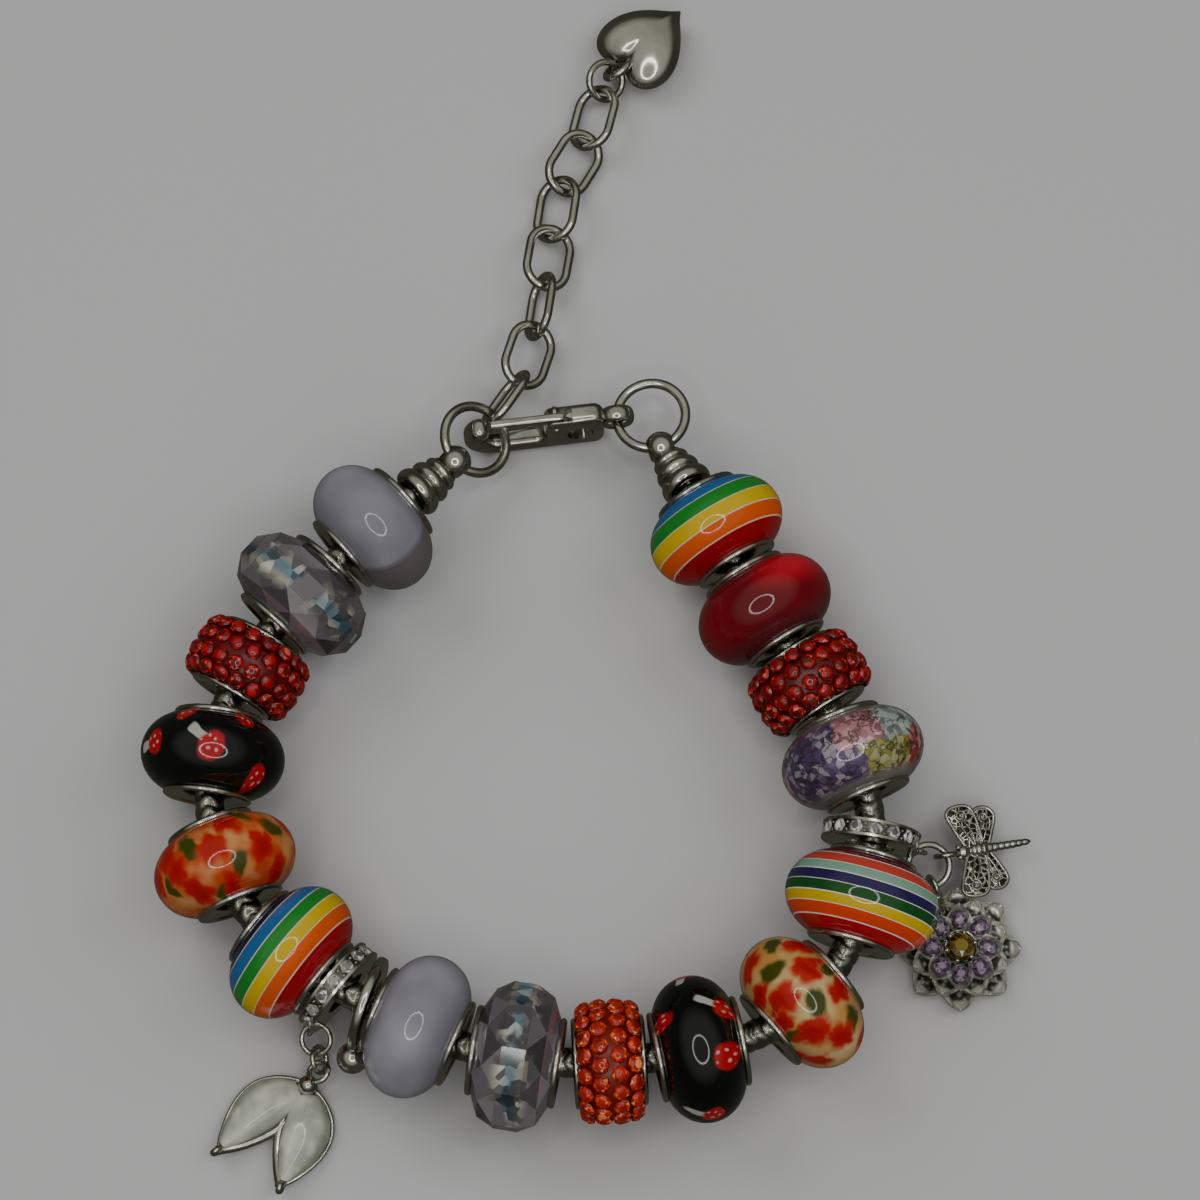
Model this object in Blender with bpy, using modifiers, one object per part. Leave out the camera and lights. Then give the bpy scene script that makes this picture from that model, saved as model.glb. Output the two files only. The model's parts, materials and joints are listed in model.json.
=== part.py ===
"""A charm bracelet lying closed on a surface.

A ribbed snake chain carries large-hole beads, each a glass, resin or stone-set body on a
silver core tube, with two spacer rings, hanging charms, a lobster clasp and an extender chain.
Lengths are in metres, +Z is up, and the bracelet lies on z = 0.
"""

import math

import bmesh
import bpy
from mathutils import Matrix, Vector

MM = 0.001
UP = Vector((0, 0, 1))

# Beads
BEAD_DIAMETER = 14.0 * MM
BEAD_LENGTH = 8.6 * MM
CRYSTAL_DIAMETER = 14.3 * MM
WIDE_BEAD_DIAMETER = 15.0 * MM
WIDE_BEAD_LENGTH = 9.1 * MM
PAVE_BEAD_DIAMETER = 11.8 * MM
PAVE_BEAD_LENGTH = 7.0 * MM
BEAD_SIDES = 14
FACET_COUNT = 12
CORE_BORE = 4.6 * MM
CORE_WALL = 0.35 * MM
CORE_SIDES = 12
FLANGE_DIAMETER = 8.6 * MM
FLANGE_THICKNESS = 0.35 * MM
FLANGE_DISH = 0.25 * MM
SEAM = 0.15 * MM

# Spacers and the ball bail
SPACER_DIAMETER = 9.6 * MM
SPACER_WIDTH = 1.8 * MM
SPACER_RIM = 0.3 * MM
SPACER_GROOVE = 0.4 * MM
STONE_COUNT = 12
STONE_DIAMETER = 1.16 * MM
SPACER_SIDES = 12
STONE_HEIGHT = 0.5 * MM
EYE_HOLE = 1.5 * MM
EYE_WIRE = 0.55 * MM
BAIL_RING_DIAMETER = 9.4 * MM
BAIL_RING_WIDTH = 1.1 * MM
BAIL_BALL_DIAMETER = 3.1 * MM
BAIL_REACH = 6.1 * MM
BAIL_NECK_DIAMETER = 1.5 * MM

# Snake chain and its end caps
CHAIN_DIAMETER = 2.9 * MM
CHAIN_POINTS = 52
CHAIN_IN_CAP = 2.6 * MM
CAP_DIAMETER = 5.0 * MM
CAP_WAIST = 3.9 * MM
CAP_LENGTH = 4.4 * MM
CAP_BALL_DIAMETER = 3.3 * MM
CAP_EYE_HOLE = 1.9 * MM
CAP_SIDES = 10
CLEARANCE = 0.3 * MM

# Large rings, clasp and extender
RING_DIAMETER = 8.0 * MM
RING_WIRE = 1.0 * MM
CLASP_LENGTH = 14.3 * MM
CLASP_HEIGHT = 6.8 * MM
CLASP_THICKNESS = 2.3 * MM
HOOK_BAR = 1.9 * MM
HOOK_END = -238
CLASP_BLOCK = 6.1 * MM
LEVER_THICKNESS = 1.1 * MM
LEVER_SLOT = 1.5 * MM
PIVOT_PIN_DIAMETER = 0.7 * MM
BAIL_LOOP_DIAMETER = 3.6 * MM
BAIL_LOOP_HOLE = 1.9 * MM
BAIL_LOOP_WIDTH = 1.7 * MM
LINK_LENGTH = 7.6 * MM
LINK_WIDTH = 5.3 * MM
LINK_WIRE = 0.9 * MM
LINK_GAP = 0.22 * MM

# Heart, charms and their jump rings
HEART_RING_DIAMETER = 4.6 * MM
SMALL_WIRE = 0.7 * MM
HEART_WIDTH = 9.0 * MM
HEART_HEIGHT = 9.4 * MM
HEART_THICKNESS = 4.2 * MM
CHARM_RING_DIAMETER = 4.8 * MM
CHARM_WIRE = 0.65 * MM
TULIP_RING_DIAMETER = 3.4 * MM
TULIP_RING_2_DIAMETER = 3.0 * MM
TULIP_WIRE = 0.5 * MM
LOTUS_DIAMETER = 12.2 * MM
LOTUS_PETALS = 8
LOTUS_BASE_THICKNESS = 0.9 * MM
LOTUS_STONE_DIAMETER = 2.8 * MM
DRAGONFLY_LENGTH = 8.8 * MM
WING_SPAN = 9.0 * MM
PETAL_LENGTH = 10.4 * MM
PETAL_OUTER_HALF = 3.4 * MM
PETAL_INNER_HALF = 1.0 * MM
PETAL_WALL = 0.5 * MM
PETAL_RISE = 1.5 * MM
TIP_CURL = 0.9 * MM
ENAMEL_THICKNESS = 0.5 * MM
TULIP_WAY_1 = Vector((0.1, -0.95, -0.22)).normalized()
TULIP_WAY_2 = Vector((0.2, -0.93, -0.25)).normalized()

# The lotus's rows of petals: inner and outer radius and width as shares of its own, the rise of a
# tip in base thicknesses, and the turn in petals
LOTUS_ROWS = (
    (0.45, 1.0, 0.34, 1.1, 0.0),
    (0.3, 0.78, 0.3, 1.3, 0.5),
    (0.22, 0.56, 0.22, 0.9, 0.0),
)
# The dragonfly's wing outlines: along the body as shares of its length, outwards of half the span
WINGS = (
    ((0.28, 0.05), (0.16, 0.62), (0.14, 0.88), (0.22, 1.0), (0.33, 0.9), (0.38, 0.55), (0.4, 0.05)),
    ((0.34, 0.05), (0.36, 0.5), (0.42, 0.84), (0.53, 0.88), (0.58, 0.68), (0.54, 0.4), (0.46, 0.05)),
)

# The strand in order from the left end cap: name, kind, the least play before each piece in mm,
# and how far it is turned on the loose chain, in degrees seen from above
STRAND = (
    ("01_lavender", "smooth", 0.8, 0),
    ("02_crystal", "crystal", 1.2, 0),
    ("03_pave", "pave", 0.9, 0),
    ("04_toadstool", "smooth", 0.6, 0),
    ("05_blossom", "smooth", 1.2, 0),
    ("06_rainbow", "smooth", 0.9, 0),
    ("spacer_left", "spacer", 0.3, -8),
    ("ball_bail", "bail", 0.3, 9),
    ("07_lavender", "smooth", 0.3, 0),
    ("08_crystal", "crystal", 0.7, 0),
    ("09_pave", "pave", 0.5, 0),
    ("10_toadstool", "smooth", 0.6, 0),
    ("11_blossom", "smooth", 0.3, 0),
    ("12_rainbow", "wide", 0.4, 0),
    ("spacer_right", "spacer", 1.2, -10),
    ("13_foil", "crystal", 1.0, 0),
    ("14_pave", "pave", 0.3, 0),
    ("15_cherry", "smooth", 0.6, 0),
    ("16_rainbow", "smooth", 0.8, 0),
)
LAST_PLAY = 0.8 * MM

# The chain's route: a few chosen points in mm, from the left eye round to the right eye
ROUTE = (
    (-15.0, 10.6), (-23.6, 2.7), (-31.4, -4.8), (-36.4, -13.0), (-38.1, -21.6),
    (-35.4, -32.2), (-27.8, -38.6), (-17.1, -44.3), (-7.9, -47.5), (0.7, -46.8),
    (9.6, -46.1), (18.3, -43.2), (23.4, -35.0), (24.8, -27.8), (24.7, -21.2),
    (20.9, -13.7), (15.9, -6.4), (11.5, 2.3), (5.6, 12.4),
)
ROUTE_EASING = 80
LEFT_EYE_HEIGHT = 5.6 * MM
RIGHT_EYE_HEIGHT = 4.9 * MM

# The extender's links from the clasp outwards: heading from +Y towards +X, pitch and roll in degrees
LINKS = (
    ("link_1", 32, -8, -64),
    ("link_2", 17, -5, 26),
    ("link_3", 8, -2, -62),
    ("link_4", 9, -6, 22),
    ("link_5", 8, 0, -32),
    ("link_6", 30, 0, 28),
    ("link_7", 14, 1, -30),
)
LINK_1_SIDESTEP = 0.45 * MM

# Which way the right jump ring's middle lies from the spacer's eye
CHARM_RING_WAY = Vector((0.66, -0.70, -0.22)).normalized()

# Where the left ring crosses the clasp and holds the extender, in degrees round it from +X
CAUGHT_AT = 18
EXTENDER_AT = 62
# How far below level each spacer's hanging eye points, in degrees
RIGHT_EYE_ANGLE = 32
LEFT_EYE_ANGLE = 42

COLOURS = {
    "silver": ((0.62, 0.62, 0.58), 0.22, 1.0),
    "oxidised_silver": ((0.42, 0.42, 0.39), 0.35, 1.0),
    "snake_chain": ((0.5, 0.5, 0.47), 0.3, 1.0),
    "lavender_glass": ((0.42, 0.40, 0.47), 0.15, 0.0),
    "smoky_crystal": ((0.36, 0.33, 0.38), 0.1, 0.0),
    "red_pave": ((0.55, 0.02, 0.02), 0.2, 0.0),
    "orange_pave": ((0.7, 0.08, 0.02), 0.2, 0.0),
    "toadstool_glass": ((0.01, 0.01, 0.01), 0.12, 0.0),
    "blossom_resin": ((0.75, 0.2, 0.06), 0.15, 0.0),
    "rainbow_resin": ((0.8, 0.45, 0.05), 0.15, 0.0),
    "foil_glass": ((0.4, 0.36, 0.38), 0.1, 0.0),
    "cherry_glass": ((0.3, 0.01, 0.02), 0.12, 0.0),
    "amber_stone": ((0.3, 0.2, 0.01), 0.1, 0.0),
    "petal_enamel": ((0.5, 0.5, 0.46), 0.15, 0.0),
}
BEAD_COLOURS = {
    "lavender": "lavender_glass", "crystal": "smoky_crystal", "toadstool": "toadstool_glass",
    "blossom": "blossom_resin", "rainbow": "rainbow_resin", "foil": "foil_glass",
    "cherry": "cherry_glass",
}


def clear_scene():
    for obj in list(bpy.data.objects):
        bpy.data.objects.remove(obj, do_unlink=True)


def new_collection(name, hidden=False):
    made = bpy.data.collections.new(name)
    made.hide_render = hidden
    bpy.context.scene.collection.children.link(made)
    return made


def finish_material(name):
    """The named finish as a Principled material, made once."""
    found = bpy.data.materials.get(name)
    if found:
        return found
    colour, roughness, metallic = COLOURS[name]
    made = bpy.data.materials.new(name)
    made.use_nodes = True
    shader = made.node_tree.nodes["Principled BSDF"]
    shader.inputs["Base Color"].default_value = (*colour, 1)
    shader.inputs["Roughness"].default_value = roughness
    shader.inputs["Metallic"].default_value = metallic
    made.diffuse_color = (*colour, 1)
    return made


def add(name, data, place, finish):
    """A named piece in the bracelet's collection."""
    obj = bpy.data.objects.new(name, data)
    obj.matrix_world = place
    data.materials.clear()
    data.materials.append(finish_material(finish))
    PARTS.objects.link(obj)
    return obj


def add_cutter(name, data, place):
    """A hidden helper that a Boolean uses."""
    obj = bpy.data.objects.new(name, data)
    obj.matrix_world = place
    obj.hide_render = True
    obj.display_type = "WIRE"
    CUTTERS.objects.link(obj)
    return obj


def placed(origin, along, towards=UP):
    """A matrix whose Z runs along one direction and whose X leans towards another."""
    z = along.normalized()
    x = (towards - z * towards.dot(z)).normalized()
    turn = Matrix((x, z.cross(x), z)).transposed().to_4x4()
    return Matrix.Translation(origin) @ turn


def smooth(mesh, degrees=35):
    mesh.shade_smooth()
    mesh.set_sharp_from_angle(angle=math.radians(degrees))


def baked(obj):
    """The object's evaluated shape as a plain mesh with its loose caps welded."""
    bpy.context.view_layer.update()
    graph = bpy.context.evaluated_depsgraph_get()
    mesh = bpy.data.meshes.new_from_object(obj.evaluated_get(graph))
    shape = bmesh.new()
    shape.from_mesh(mesh)
    bmesh.ops.remove_doubles(shape, verts=shape.verts, dist=0.001 * MM)
    shape.to_mesh(mesh)
    shape.free()
    return mesh


def bake_in_place(obj, degrees=35):
    """Replaces an object's data by its evaluated mesh, without modifiers."""
    mesh = baked(obj)
    smooth(mesh, degrees)
    place = obj.matrix_world.copy()
    name = obj.name
    home = obj.users_collection[0]
    hidden = obj.hide_render
    bpy.data.objects.remove(obj, do_unlink=True)
    made = bpy.data.objects.new(name, mesh)
    made.matrix_world = place
    made.hide_render = hidden
    if hidden:
        made.display_type = "WIRE"
    home.objects.link(made)
    return made


def turned_mesh(name, profile, sides, closed=True):
    """An outline of (radius, height) points turned about Z; a closed outline leaves a bore."""
    mesh = bpy.data.meshes.new(name)
    edges = [(i, i + 1) for i in range(len(profile) - 1)]
    if closed:
        edges.append((len(profile) - 1, 0))
    mesh.from_pydata([(r, 0, z) for r, z in profile], edges, [])
    helper = bpy.data.objects.new(name + "_profile", mesh)
    CUTTERS.objects.link(helper)
    screw = helper.modifiers.new("turn", "SCREW")
    screw.steps = sides
    screw.render_steps = sides
    screw.use_merge_vertices = True
    screw.merge_threshold = 0.01 * MM
    made = baked(helper)
    bpy.data.objects.remove(helper, do_unlink=True)
    made.name = name
    shape = bmesh.new()
    shape.from_mesh(made)
    bmesh.ops.recalc_face_normals(shape, faces=shape.faces)
    shape.to_mesh(made)
    shape.free()
    smooth(made)
    return made


def wire_data(name, points, diameter, closed, resolution=1):
    """Wire along points: 6 sides at resolution 1, 8 at 2."""
    curve = bpy.data.curves.new(name, "CURVE")
    curve.dimensions = "3D"
    curve.bevel_depth = diameter / 2
    curve.bevel_resolution = resolution
    curve.use_fill_caps = True
    spline = curve.splines.new("POLY")
    spline.points.add(len(points) - 1)
    for point, target in zip(spline.points, points):
        point.co = (*target, 1)
    spline.use_cyclic_u = closed
    return curve


def oval_points(length, width, count):
    """A stadium: two half circles joined by straights, in the XY plane, long along Y."""
    radius = width / 2
    straight = (length - width) / 2
    points = []
    for i in range(count):
        angle = 2 * math.pi * (i + 0.5) / count
        shift = straight if math.sin(angle) > 0 else -straight
        points.append(Vector((radius * math.cos(angle), radius * math.sin(angle) + shift, 0)))
    return points


def plate_mesh(name, outline, thickness, bevel=0.0, bevel_steps=0):
    """A flat outline in XY given a thickness about z = 0, with rounded edges where asked."""
    curve = bpy.data.curves.new(name, "CURVE")
    curve.dimensions = "2D"
    curve.fill_mode = "BOTH"
    curve.extrude = thickness / 2 - bevel
    curve.bevel_depth = bevel
    curve.bevel_resolution = bevel_steps
    curve.offset = -bevel
    spline = curve.splines.new("POLY")
    spline.points.add(len(outline) - 1)
    for point, (x, y) in zip(spline.points, outline):
        point.co = (x, y, 0, 1)
    spline.use_cyclic_u = True
    helper = bpy.data.objects.new(name + "_outline", curve)
    CUTTERS.objects.link(helper)
    made = baked(helper)
    bpy.data.objects.remove(helper, do_unlink=True)
    made.name = name
    return made


def rod_mesh(name, diameter, length, sides=10, taper=1.0):
    """A round bar about Z, centred, whose upper end may taper."""
    shape = bmesh.new()
    bmesh.ops.create_cone(shape, cap_ends=True, segments=sides, radius1=diameter / 2,
                          radius2=diameter / 2 * taper, depth=length)
    mesh = bpy.data.meshes.new(name)
    shape.to_mesh(mesh)
    shape.free()
    return mesh


def ball_mesh(name, diameter, sides=12, rings=7):
    shape = bmesh.new()
    bmesh.ops.create_uvsphere(shape, u_segments=sides, v_segments=rings, radius=diameter / 2)
    mesh = bpy.data.meshes.new(name)
    shape.to_mesh(mesh)
    shape.free()
    return mesh


def box_mesh(name, low, high):
    shape = bmesh.new()
    bmesh.ops.create_cube(shape, size=1)
    for vertex in shape.verts:
        vertex.co = Vector([a + (b - a) * (c + 0.5) for a, b, c in zip(low, high, vertex.co)])
    mesh = bpy.data.meshes.new(name)
    shape.to_mesh(mesh)
    shape.free()
    return mesh


def join(target, helpers, operation):
    """Applies Booleans against the helpers in turn, then keeps the result as a mesh."""
    for helper in helpers:
        cut = target.modifiers.new(helper.name, "BOOLEAN")
        cut.operation = operation
        cut.solver = "EXACT"
        cut.object = helper
    made = bake_in_place(target)
    for helper in helpers:
        bpy.data.objects.remove(helper, do_unlink=True)
    return made


def arc(centre, radius, start, end, count):
    """Points on an arc in a plane, angles in degrees."""
    angles = [math.radians(start + (end - start) * i / (count - 1)) for i in range(count)]
    return [(centre[0] + radius * math.cos(a), centre[1] + radius * math.sin(a)) for a in angles]


class Strand:
    """The route of the snake chain and the place of each piece on it."""

    def __init__(self):
        self.lengths = {
            "smooth": BEAD_LENGTH, "crystal": BEAD_LENGTH, "wide": WIDE_BEAD_LENGTH,
            "pave": PAVE_BEAD_LENGTH, "spacer": SPACER_WIDTH, "bail": BAIL_RING_WIDTH,
        }
        self.radii = {
            "smooth": BEAD_DIAMETER / 2, "crystal": CRYSTAL_DIAMETER / 2,
            "wide": WIDE_BEAD_DIAMETER / 2, "pave": PAVE_BEAD_DIAMETER / 2,
            "spacer": SPACER_DIAMETER / 2, "bail": BAIL_RING_DIAMETER / 2,
        }
        self.slack = CORE_BORE / 2 - CHAIN_DIAMETER / 2 - CLEARANCE
        self.cap_reach = CAP_LENGTH + CAP_BALL_DIAMETER * 0.42
        self.plays = [play * MM for _, _, play, _ in STRAND]
        for _ in range(6):
            self.lay_out()
            self.fit_route()
            self.open_corners()
        self.lay_out()
        self.fit_route()

    def lay_out(self):
        """Each piece's middle as a length along the chain."""
        self.stops = []
        along = self.cap_reach
        for (_, kind, _, _), play in zip(STRAND, self.plays):
            along += play + self.lengths[kind] / 2
            self.stops.append(along)
            along += self.lengths[kind] / 2
        self.total = along + LAST_PLAY + self.cap_reach

    def shoulder(self, kind):
        """The radius at which a piece meets its neighbour in a bend."""
        return self.radii[kind] if kind in ("spacer", "bail") else FLANGE_DIAMETER / 2

    def open_corners(self):
        """Widens each play until the two ends that meet in the bend only just clear."""
        seats = [self.seat(i).to_3x3() @ UP for i in range(len(STRAND))]
        for i in range(1, len(STRAND)):
            turn = seats[i - 1].angle(seats[i])
            reach = self.shoulder(STRAND[i - 1][1]) + self.shoulder(STRAND[i][1])
            least = reach * math.tan(turn / 2) + 2 * SEAM - FLANGE_DISH / 2
            self.plays[i] = max(STRAND[i][2] * MM, least)

    def fit_route(self):
        """Swells the route from its two fixed ends until it is as long as the strand."""
        low, high = -0.6, 2.0
        for _ in range(40):
            swell = (low + high) / 2
            self.sample(swell)
            if self.marks[-1] < self.total:
                low = swell
            else:
                high = swell

    def sample(self, swell):
        knots = [Vector((x, y, 0)) * MM for x, y in ROUTE]
        middle = (knots[0] + knots[-1]) / 2
        last = len(knots) - 1
        for i, knot in enumerate(knots):
            share = 1 - (2 * i / last - 1) ** 4
            knots[i] = middle + (knot - middle) * (1 + swell * share)
        knots = [2 * knots[0] - knots[1], *knots, 2 * knots[-1] - knots[-2]]
        self.path = []
        steps = 10
        for a, b, c, d in zip(knots, knots[1:], knots[2:], knots[3:]):
            for k in range(steps):
                t = k / steps
                spread = (c - a) * t + (2 * a - 5 * b + 4 * c - d) * t * t
                self.path.append(b + (spread + (3 * b - a - 3 * c + d) * t**3) / 2)
        self.path.append(knots[-2])
        for _ in range(ROUTE_EASING):
            eased = [(a + 2 * b + c) / 4 for a, b, c in zip(self.path, self.path[1:], self.path[2:])]
            self.path = [self.path[0], *eased, self.path[-1]]
        self.marks = [0.0]
        for a, b in zip(self.path, self.path[1:]):
            self.marks.append(self.marks[-1] + (b - a).length)

    def height(self, along):
        """The chain's height: it lies in the beads that rest on the surface."""
        first = self.stops[0] - self.lengths["smooth"] / 2
        last = self.stops[-1] + self.lengths["smooth"] / 2
        rest = self.radii["smooth"] - self.slack
        if along < first:
            return LEFT_EYE_HEIGHT + (rest - LEFT_EYE_HEIGHT) * along / first
        if along > last:
            share = (self.total - along) / (self.total - last)
            return RIGHT_EYE_HEIGHT + (rest - RIGHT_EYE_HEIGHT) * share
        resting = ("smooth", "crystal", "wide")
        knots = [(stop, self.radii[kind] - self.slack)
                 for stop, (_, kind, _, _) in zip(self.stops, STRAND) if kind in resting]
        for (a, low), (b, high) in zip(knots, knots[1:]):
            if a <= along <= b:
                share = (along - a) / (b - a)
                return low + (high - low) * share * share * (3 - 2 * share)
        return rest

    def at(self, along):
        """The chain's middle at a length along it."""
        along = min(max(along, 0), self.marks[-1])
        for i in range(len(self.marks) - 1):
            if along <= self.marks[i + 1]:
                share = (along - self.marks[i]) / (self.marks[i + 1] - self.marks[i])
                flat = self.path[i].lerp(self.path[i + 1], share)
                return Vector((flat.x, flat.y, self.height(along)))
        return self.path[-1] + UP * self.height(along)

    def seat(self, index):
        """The place of a piece: its Z lies along the strand and its X points up."""
        _, kind, _, turn = STRAND[index]
        half = self.lengths[kind] / 2
        stop = self.stops[index]
        start = self.at(stop - half)
        end = self.at(stop + half)
        axis = end - start
        axis.z = 0
        middle = (start + end + 2 * self.at(stop)) / 4
        middle.z = max(self.radii[kind], self.height(stop) - self.slack)
        return placed(middle, Matrix.Rotation(math.radians(turn), 3, "Z") @ axis)


def barrel_profile(radius, half, end_radius, bore, steps):
    """A bead's outline: an elliptic barrel outside, a straight bore inside."""
    outer = []
    for i in range(steps):
        angle = math.pi / 2 - math.pi * i / (steps - 1)
        bulge = (radius - end_radius) * math.cos(angle) ** 0.85 if 0 < i < steps - 1 else 0
        outer.append((end_radius + bulge, half * math.sin(angle)))
    return [*outer, (bore, -half), (bore, half)]


def crystal_mesh(name, radius, half, end_radius, bore):
    """A cut bead: rings of flat facets, each ring turned half a step from the next."""
    shape = bmesh.new()
    rings = ((1.0, 0.0, 0), (0.6, 0.62, 1), (0.0, 1.0, 0))
    for share, height, turn in rings:
        for sign in ((1,) if height == 0 else (1, -1)):
            for i in range(FACET_COUNT):
                angle = 2 * math.pi * (i + turn / 2) / FACET_COUNT
                r = end_radius + (radius - end_radius) * share
                shape.verts.new((r * math.cos(angle), r * math.sin(angle), sign * half * height))
    bmesh.ops.convex_hull(shape, input=shape.verts)
    mesh = bpy.data.meshes.new(name)
    shape.to_mesh(mesh)
    shape.free()
    outer = bpy.data.objects.new(name, mesh)
    CUTTERS.objects.link(outer)
    drill = add_cutter(name + "_drill", rod_mesh("drill", 2 * bore, 4 * half, BEAD_SIDES), Matrix())
    made = join(outer, [drill], "DIFFERENCE")
    result = made.data
    bpy.data.objects.remove(made, do_unlink=True)
    for polygon in result.polygons:
        polygon.use_smooth = False
    return result


def core_profile(half):
    """The silver tube inside a bead, with a dished flange over each end."""
    bore = CORE_BORE / 2
    tube = bore + CORE_WALL
    flange = FLANGE_DIAMETER / 2
    under = half - FLANGE_DISH - FLANGE_THICKNESS
    lip = (flange - FLANGE_THICKNESS, half - FLANGE_DISH / 2)
    upper = [(bore, half), lip, (flange, under), (tube, under)]
    return upper + [(r, -z) for r, z in reversed(upper)]


def make_beads(strand):
    """Every bead as a body on its own core tube."""
    meshes = {}
    for index, (name, kind, _, _) in enumerate(STRAND):
        if kind in ("spacer", "bail"):
            continue
        half = strand.lengths[kind] / 2
        body_half = half - FLANGE_DISH - FLANGE_THICKNESS - SEAM
        bore = CORE_BORE / 2 + CORE_WALL + SEAM + 0.1 * MM
        end_radius = FLANGE_DIAMETER / 2 - 0.2 * MM
        radius = strand.radii[kind]
        if kind not in meshes:
            core = turned_mesh("core_" + kind, core_profile(half), CORE_SIDES)
            if kind == "crystal":
                body = crystal_mesh("body_" + kind, radius, body_half, end_radius, bore)
            else:
                steps = 5 if kind == "pave" else 7
                outline = barrel_profile(radius, body_half, end_radius, bore, steps)
                body = turned_mesh("body_" + kind, outline, BEAD_SIDES)
            meshes[kind] = (body, core)
        body, core = meshes[kind]
        word = name.split("_")[1]
        finish = BEAD_COLOURS.get(word, "orange_pave" if name == "09_pave" else "red_pave")
        place = strand.seat(index)
        add("bead_" + name, body.copy(), place, finish)
        add("core_" + name, core.copy(), place, "silver")


def eye_ring(name, centre, axis, hole, wire, count=12):
    """A small closed loop of wire about an axis, as a mesh object for joining."""
    radius = (hole + wire) / 2
    points = [Vector((radius * math.cos(a), radius * math.sin(a), 0))
              for a in (2 * math.pi * i / count for i in range(count))]
    place = placed(centre, axis, Vector((0.3, 0.5, 0.8)))
    helper = add_cutter(name, wire_data(name, points, wire, True), place)
    return bake_in_place(helper)


def spacer_eye(place, degrees):
    """The middle of a spacer's hanging eye, on its outer side and below level by some degrees."""
    angle = math.radians(degrees)
    reach = SPACER_DIAMETER / 2 - SPACER_GROOVE + EYE_HOLE / 2 + EYE_WIRE * 0.45
    return place @ Vector((-reach * math.sin(angle), reach * math.cos(angle), 0))


def make_spacer(strand, name, degrees, passing):
    """A grooved ring set with a row of small cut stones, with an eye that a jump ring passes."""
    index = [row[0] for row in STRAND].index(name)
    place = strand.seat(index)
    half = SPACER_WIDTH / 2
    outer = SPACER_DIAMETER / 2
    floor = outer - SPACER_GROOVE
    bore = CORE_BORE / 2 + 0.1 * MM
    side = [(outer, half), (outer, half - SPACER_RIM), (floor, half - SPACER_RIM)]
    outline = side + [(r, -z) for r, z in reversed(side)] + [(bore, -half), (bore, half)]
    band = add(name, turned_mesh(name, outline, SPACER_SIDES), place, "silver")
    helpers = []
    for i in range(STONE_COUNT):
        angle = 2 * math.pi * (i + 0.5) / STONE_COUNT
        way = Vector((math.cos(angle), math.sin(angle), 0))
        stone = rod_mesh("stone", STONE_DIAMETER, STONE_HEIGHT, 8, 0.55)
        seat = place @ placed(way * (floor * math.cos(math.pi / SPACER_SIDES) + STONE_HEIGHT * 0.3), way, UP)
        helpers.append(add_cutter(f"stone_{i}", stone, seat))
    centre = spacer_eye(place, degrees)
    radial = (centre - place.translation).normalized()
    axis = place.to_3x3() @ UP + passing
    axis -= radial * axis.dot(radial)
    helpers.append(eye_ring("eye", centre, axis, EYE_HOLE, EYE_WIRE))
    joined = join(band, helpers, "UNION")
    joined.data.materials.clear()
    joined.data.materials.append(finish_material("silver"))
    return centre


def charm_loop(name, contact, tangent, way):
    """A charm's own loop round a jump ring's wire, in the plane that holds the charm's direction."""
    axis = tangent - way * tangent.dot(way)
    return eye_ring(name, contact, axis, EYE_HOLE, EYE_WIRE)


def make_ball_bail(strand):
    """A smooth ring on the chain whose short neck ends in a ball."""
    index = [row[0] for row in STRAND].index("ball_bail")
    place = strand.seat(index)
    half = BAIL_RING_WIDTH / 2
    outer = BAIL_RING_DIAMETER / 2
    bore = CORE_BORE / 2 + 0.1 * MM
    outline = [(outer - 0.2 * MM, half), (outer, 0), (outer - 0.2 * MM, -half), (bore, -half), (bore, half)]
    band = add("ball_bail", turned_mesh("ball_bail", outline, 12), place, "silver")
    angle = math.radians(35)
    way = Vector((-math.sin(angle), math.cos(angle), 0))
    ball = add_cutter("ball", ball_mesh("ball", BAIL_BALL_DIAMETER, 10, 7),
                      place @ placed(way * BAIL_REACH, way, UP))
    neck_start = outer - 0.5 * MM
    neck_length = BAIL_REACH - neck_start
    neck = add_cutter("neck", rod_mesh("neck", BAIL_NECK_DIAMETER, neck_length, 8, 0.8),
                      place @ placed(way * (neck_start + neck_length / 2), way, UP))
    join(band, [neck, ball], "UNION")


def make_snake_chain(strand):
    start = strand.cap_reach - CHAIN_IN_CAP
    end = strand.total - start
    points = [strand.at(start + (end - start) * i / (CHAIN_POINTS - 1)) for i in range(CHAIN_POINTS)]
    curve = wire_data("snake_chain", points, CHAIN_DIAMETER, False, 2)
    add("snake_chain", curve, Matrix(), "snake_chain")


def make_end_cap(name, mouth, eye, hole_axis):
    """A ridged cup over the chain's end, closed by a ball with an eye for the large ring."""
    ball = CAP_BALL_DIAMETER / 2
    ridge = CAP_DIAMETER / 2
    waist = CAP_WAIST / 2
    bore = CHAIN_DIAMETER / 2 + CLEARANCE
    reach = (eye - mouth).length
    blind = CHAIN_IN_CAP + CLEARANCE
    outline = [(0, reach + ball), (ball * 0.7, reach + ball * 0.7), (ball, reach)]
    outline.append((ball * 0.75, reach - ball * 0.66))
    top = CAP_LENGTH
    ribs = ((0.96, waist), (0.78, ridge * 0.9), (0.6, waist), (0.42, ridge), (0.25, waist), (0.1, ridge))
    for start, size in ribs:
        outline.append((size, top * start))
    outline += [(ridge - 0.2 * MM, 0), (bore, 0), (bore, blind), (0, blind)]
    place = placed(mouth, eye - mouth)
    cap = add(name, turned_mesh(name, outline, CAP_SIDES, closed=False), place, "silver")
    drill = add_cutter(name + "_drill", rod_mesh("drill", CAP_EYE_HOLE, 4 * ball), placed(eye, hole_axis))
    joined = join(cap, [drill], "DIFFERENCE")
    return joined


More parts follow.
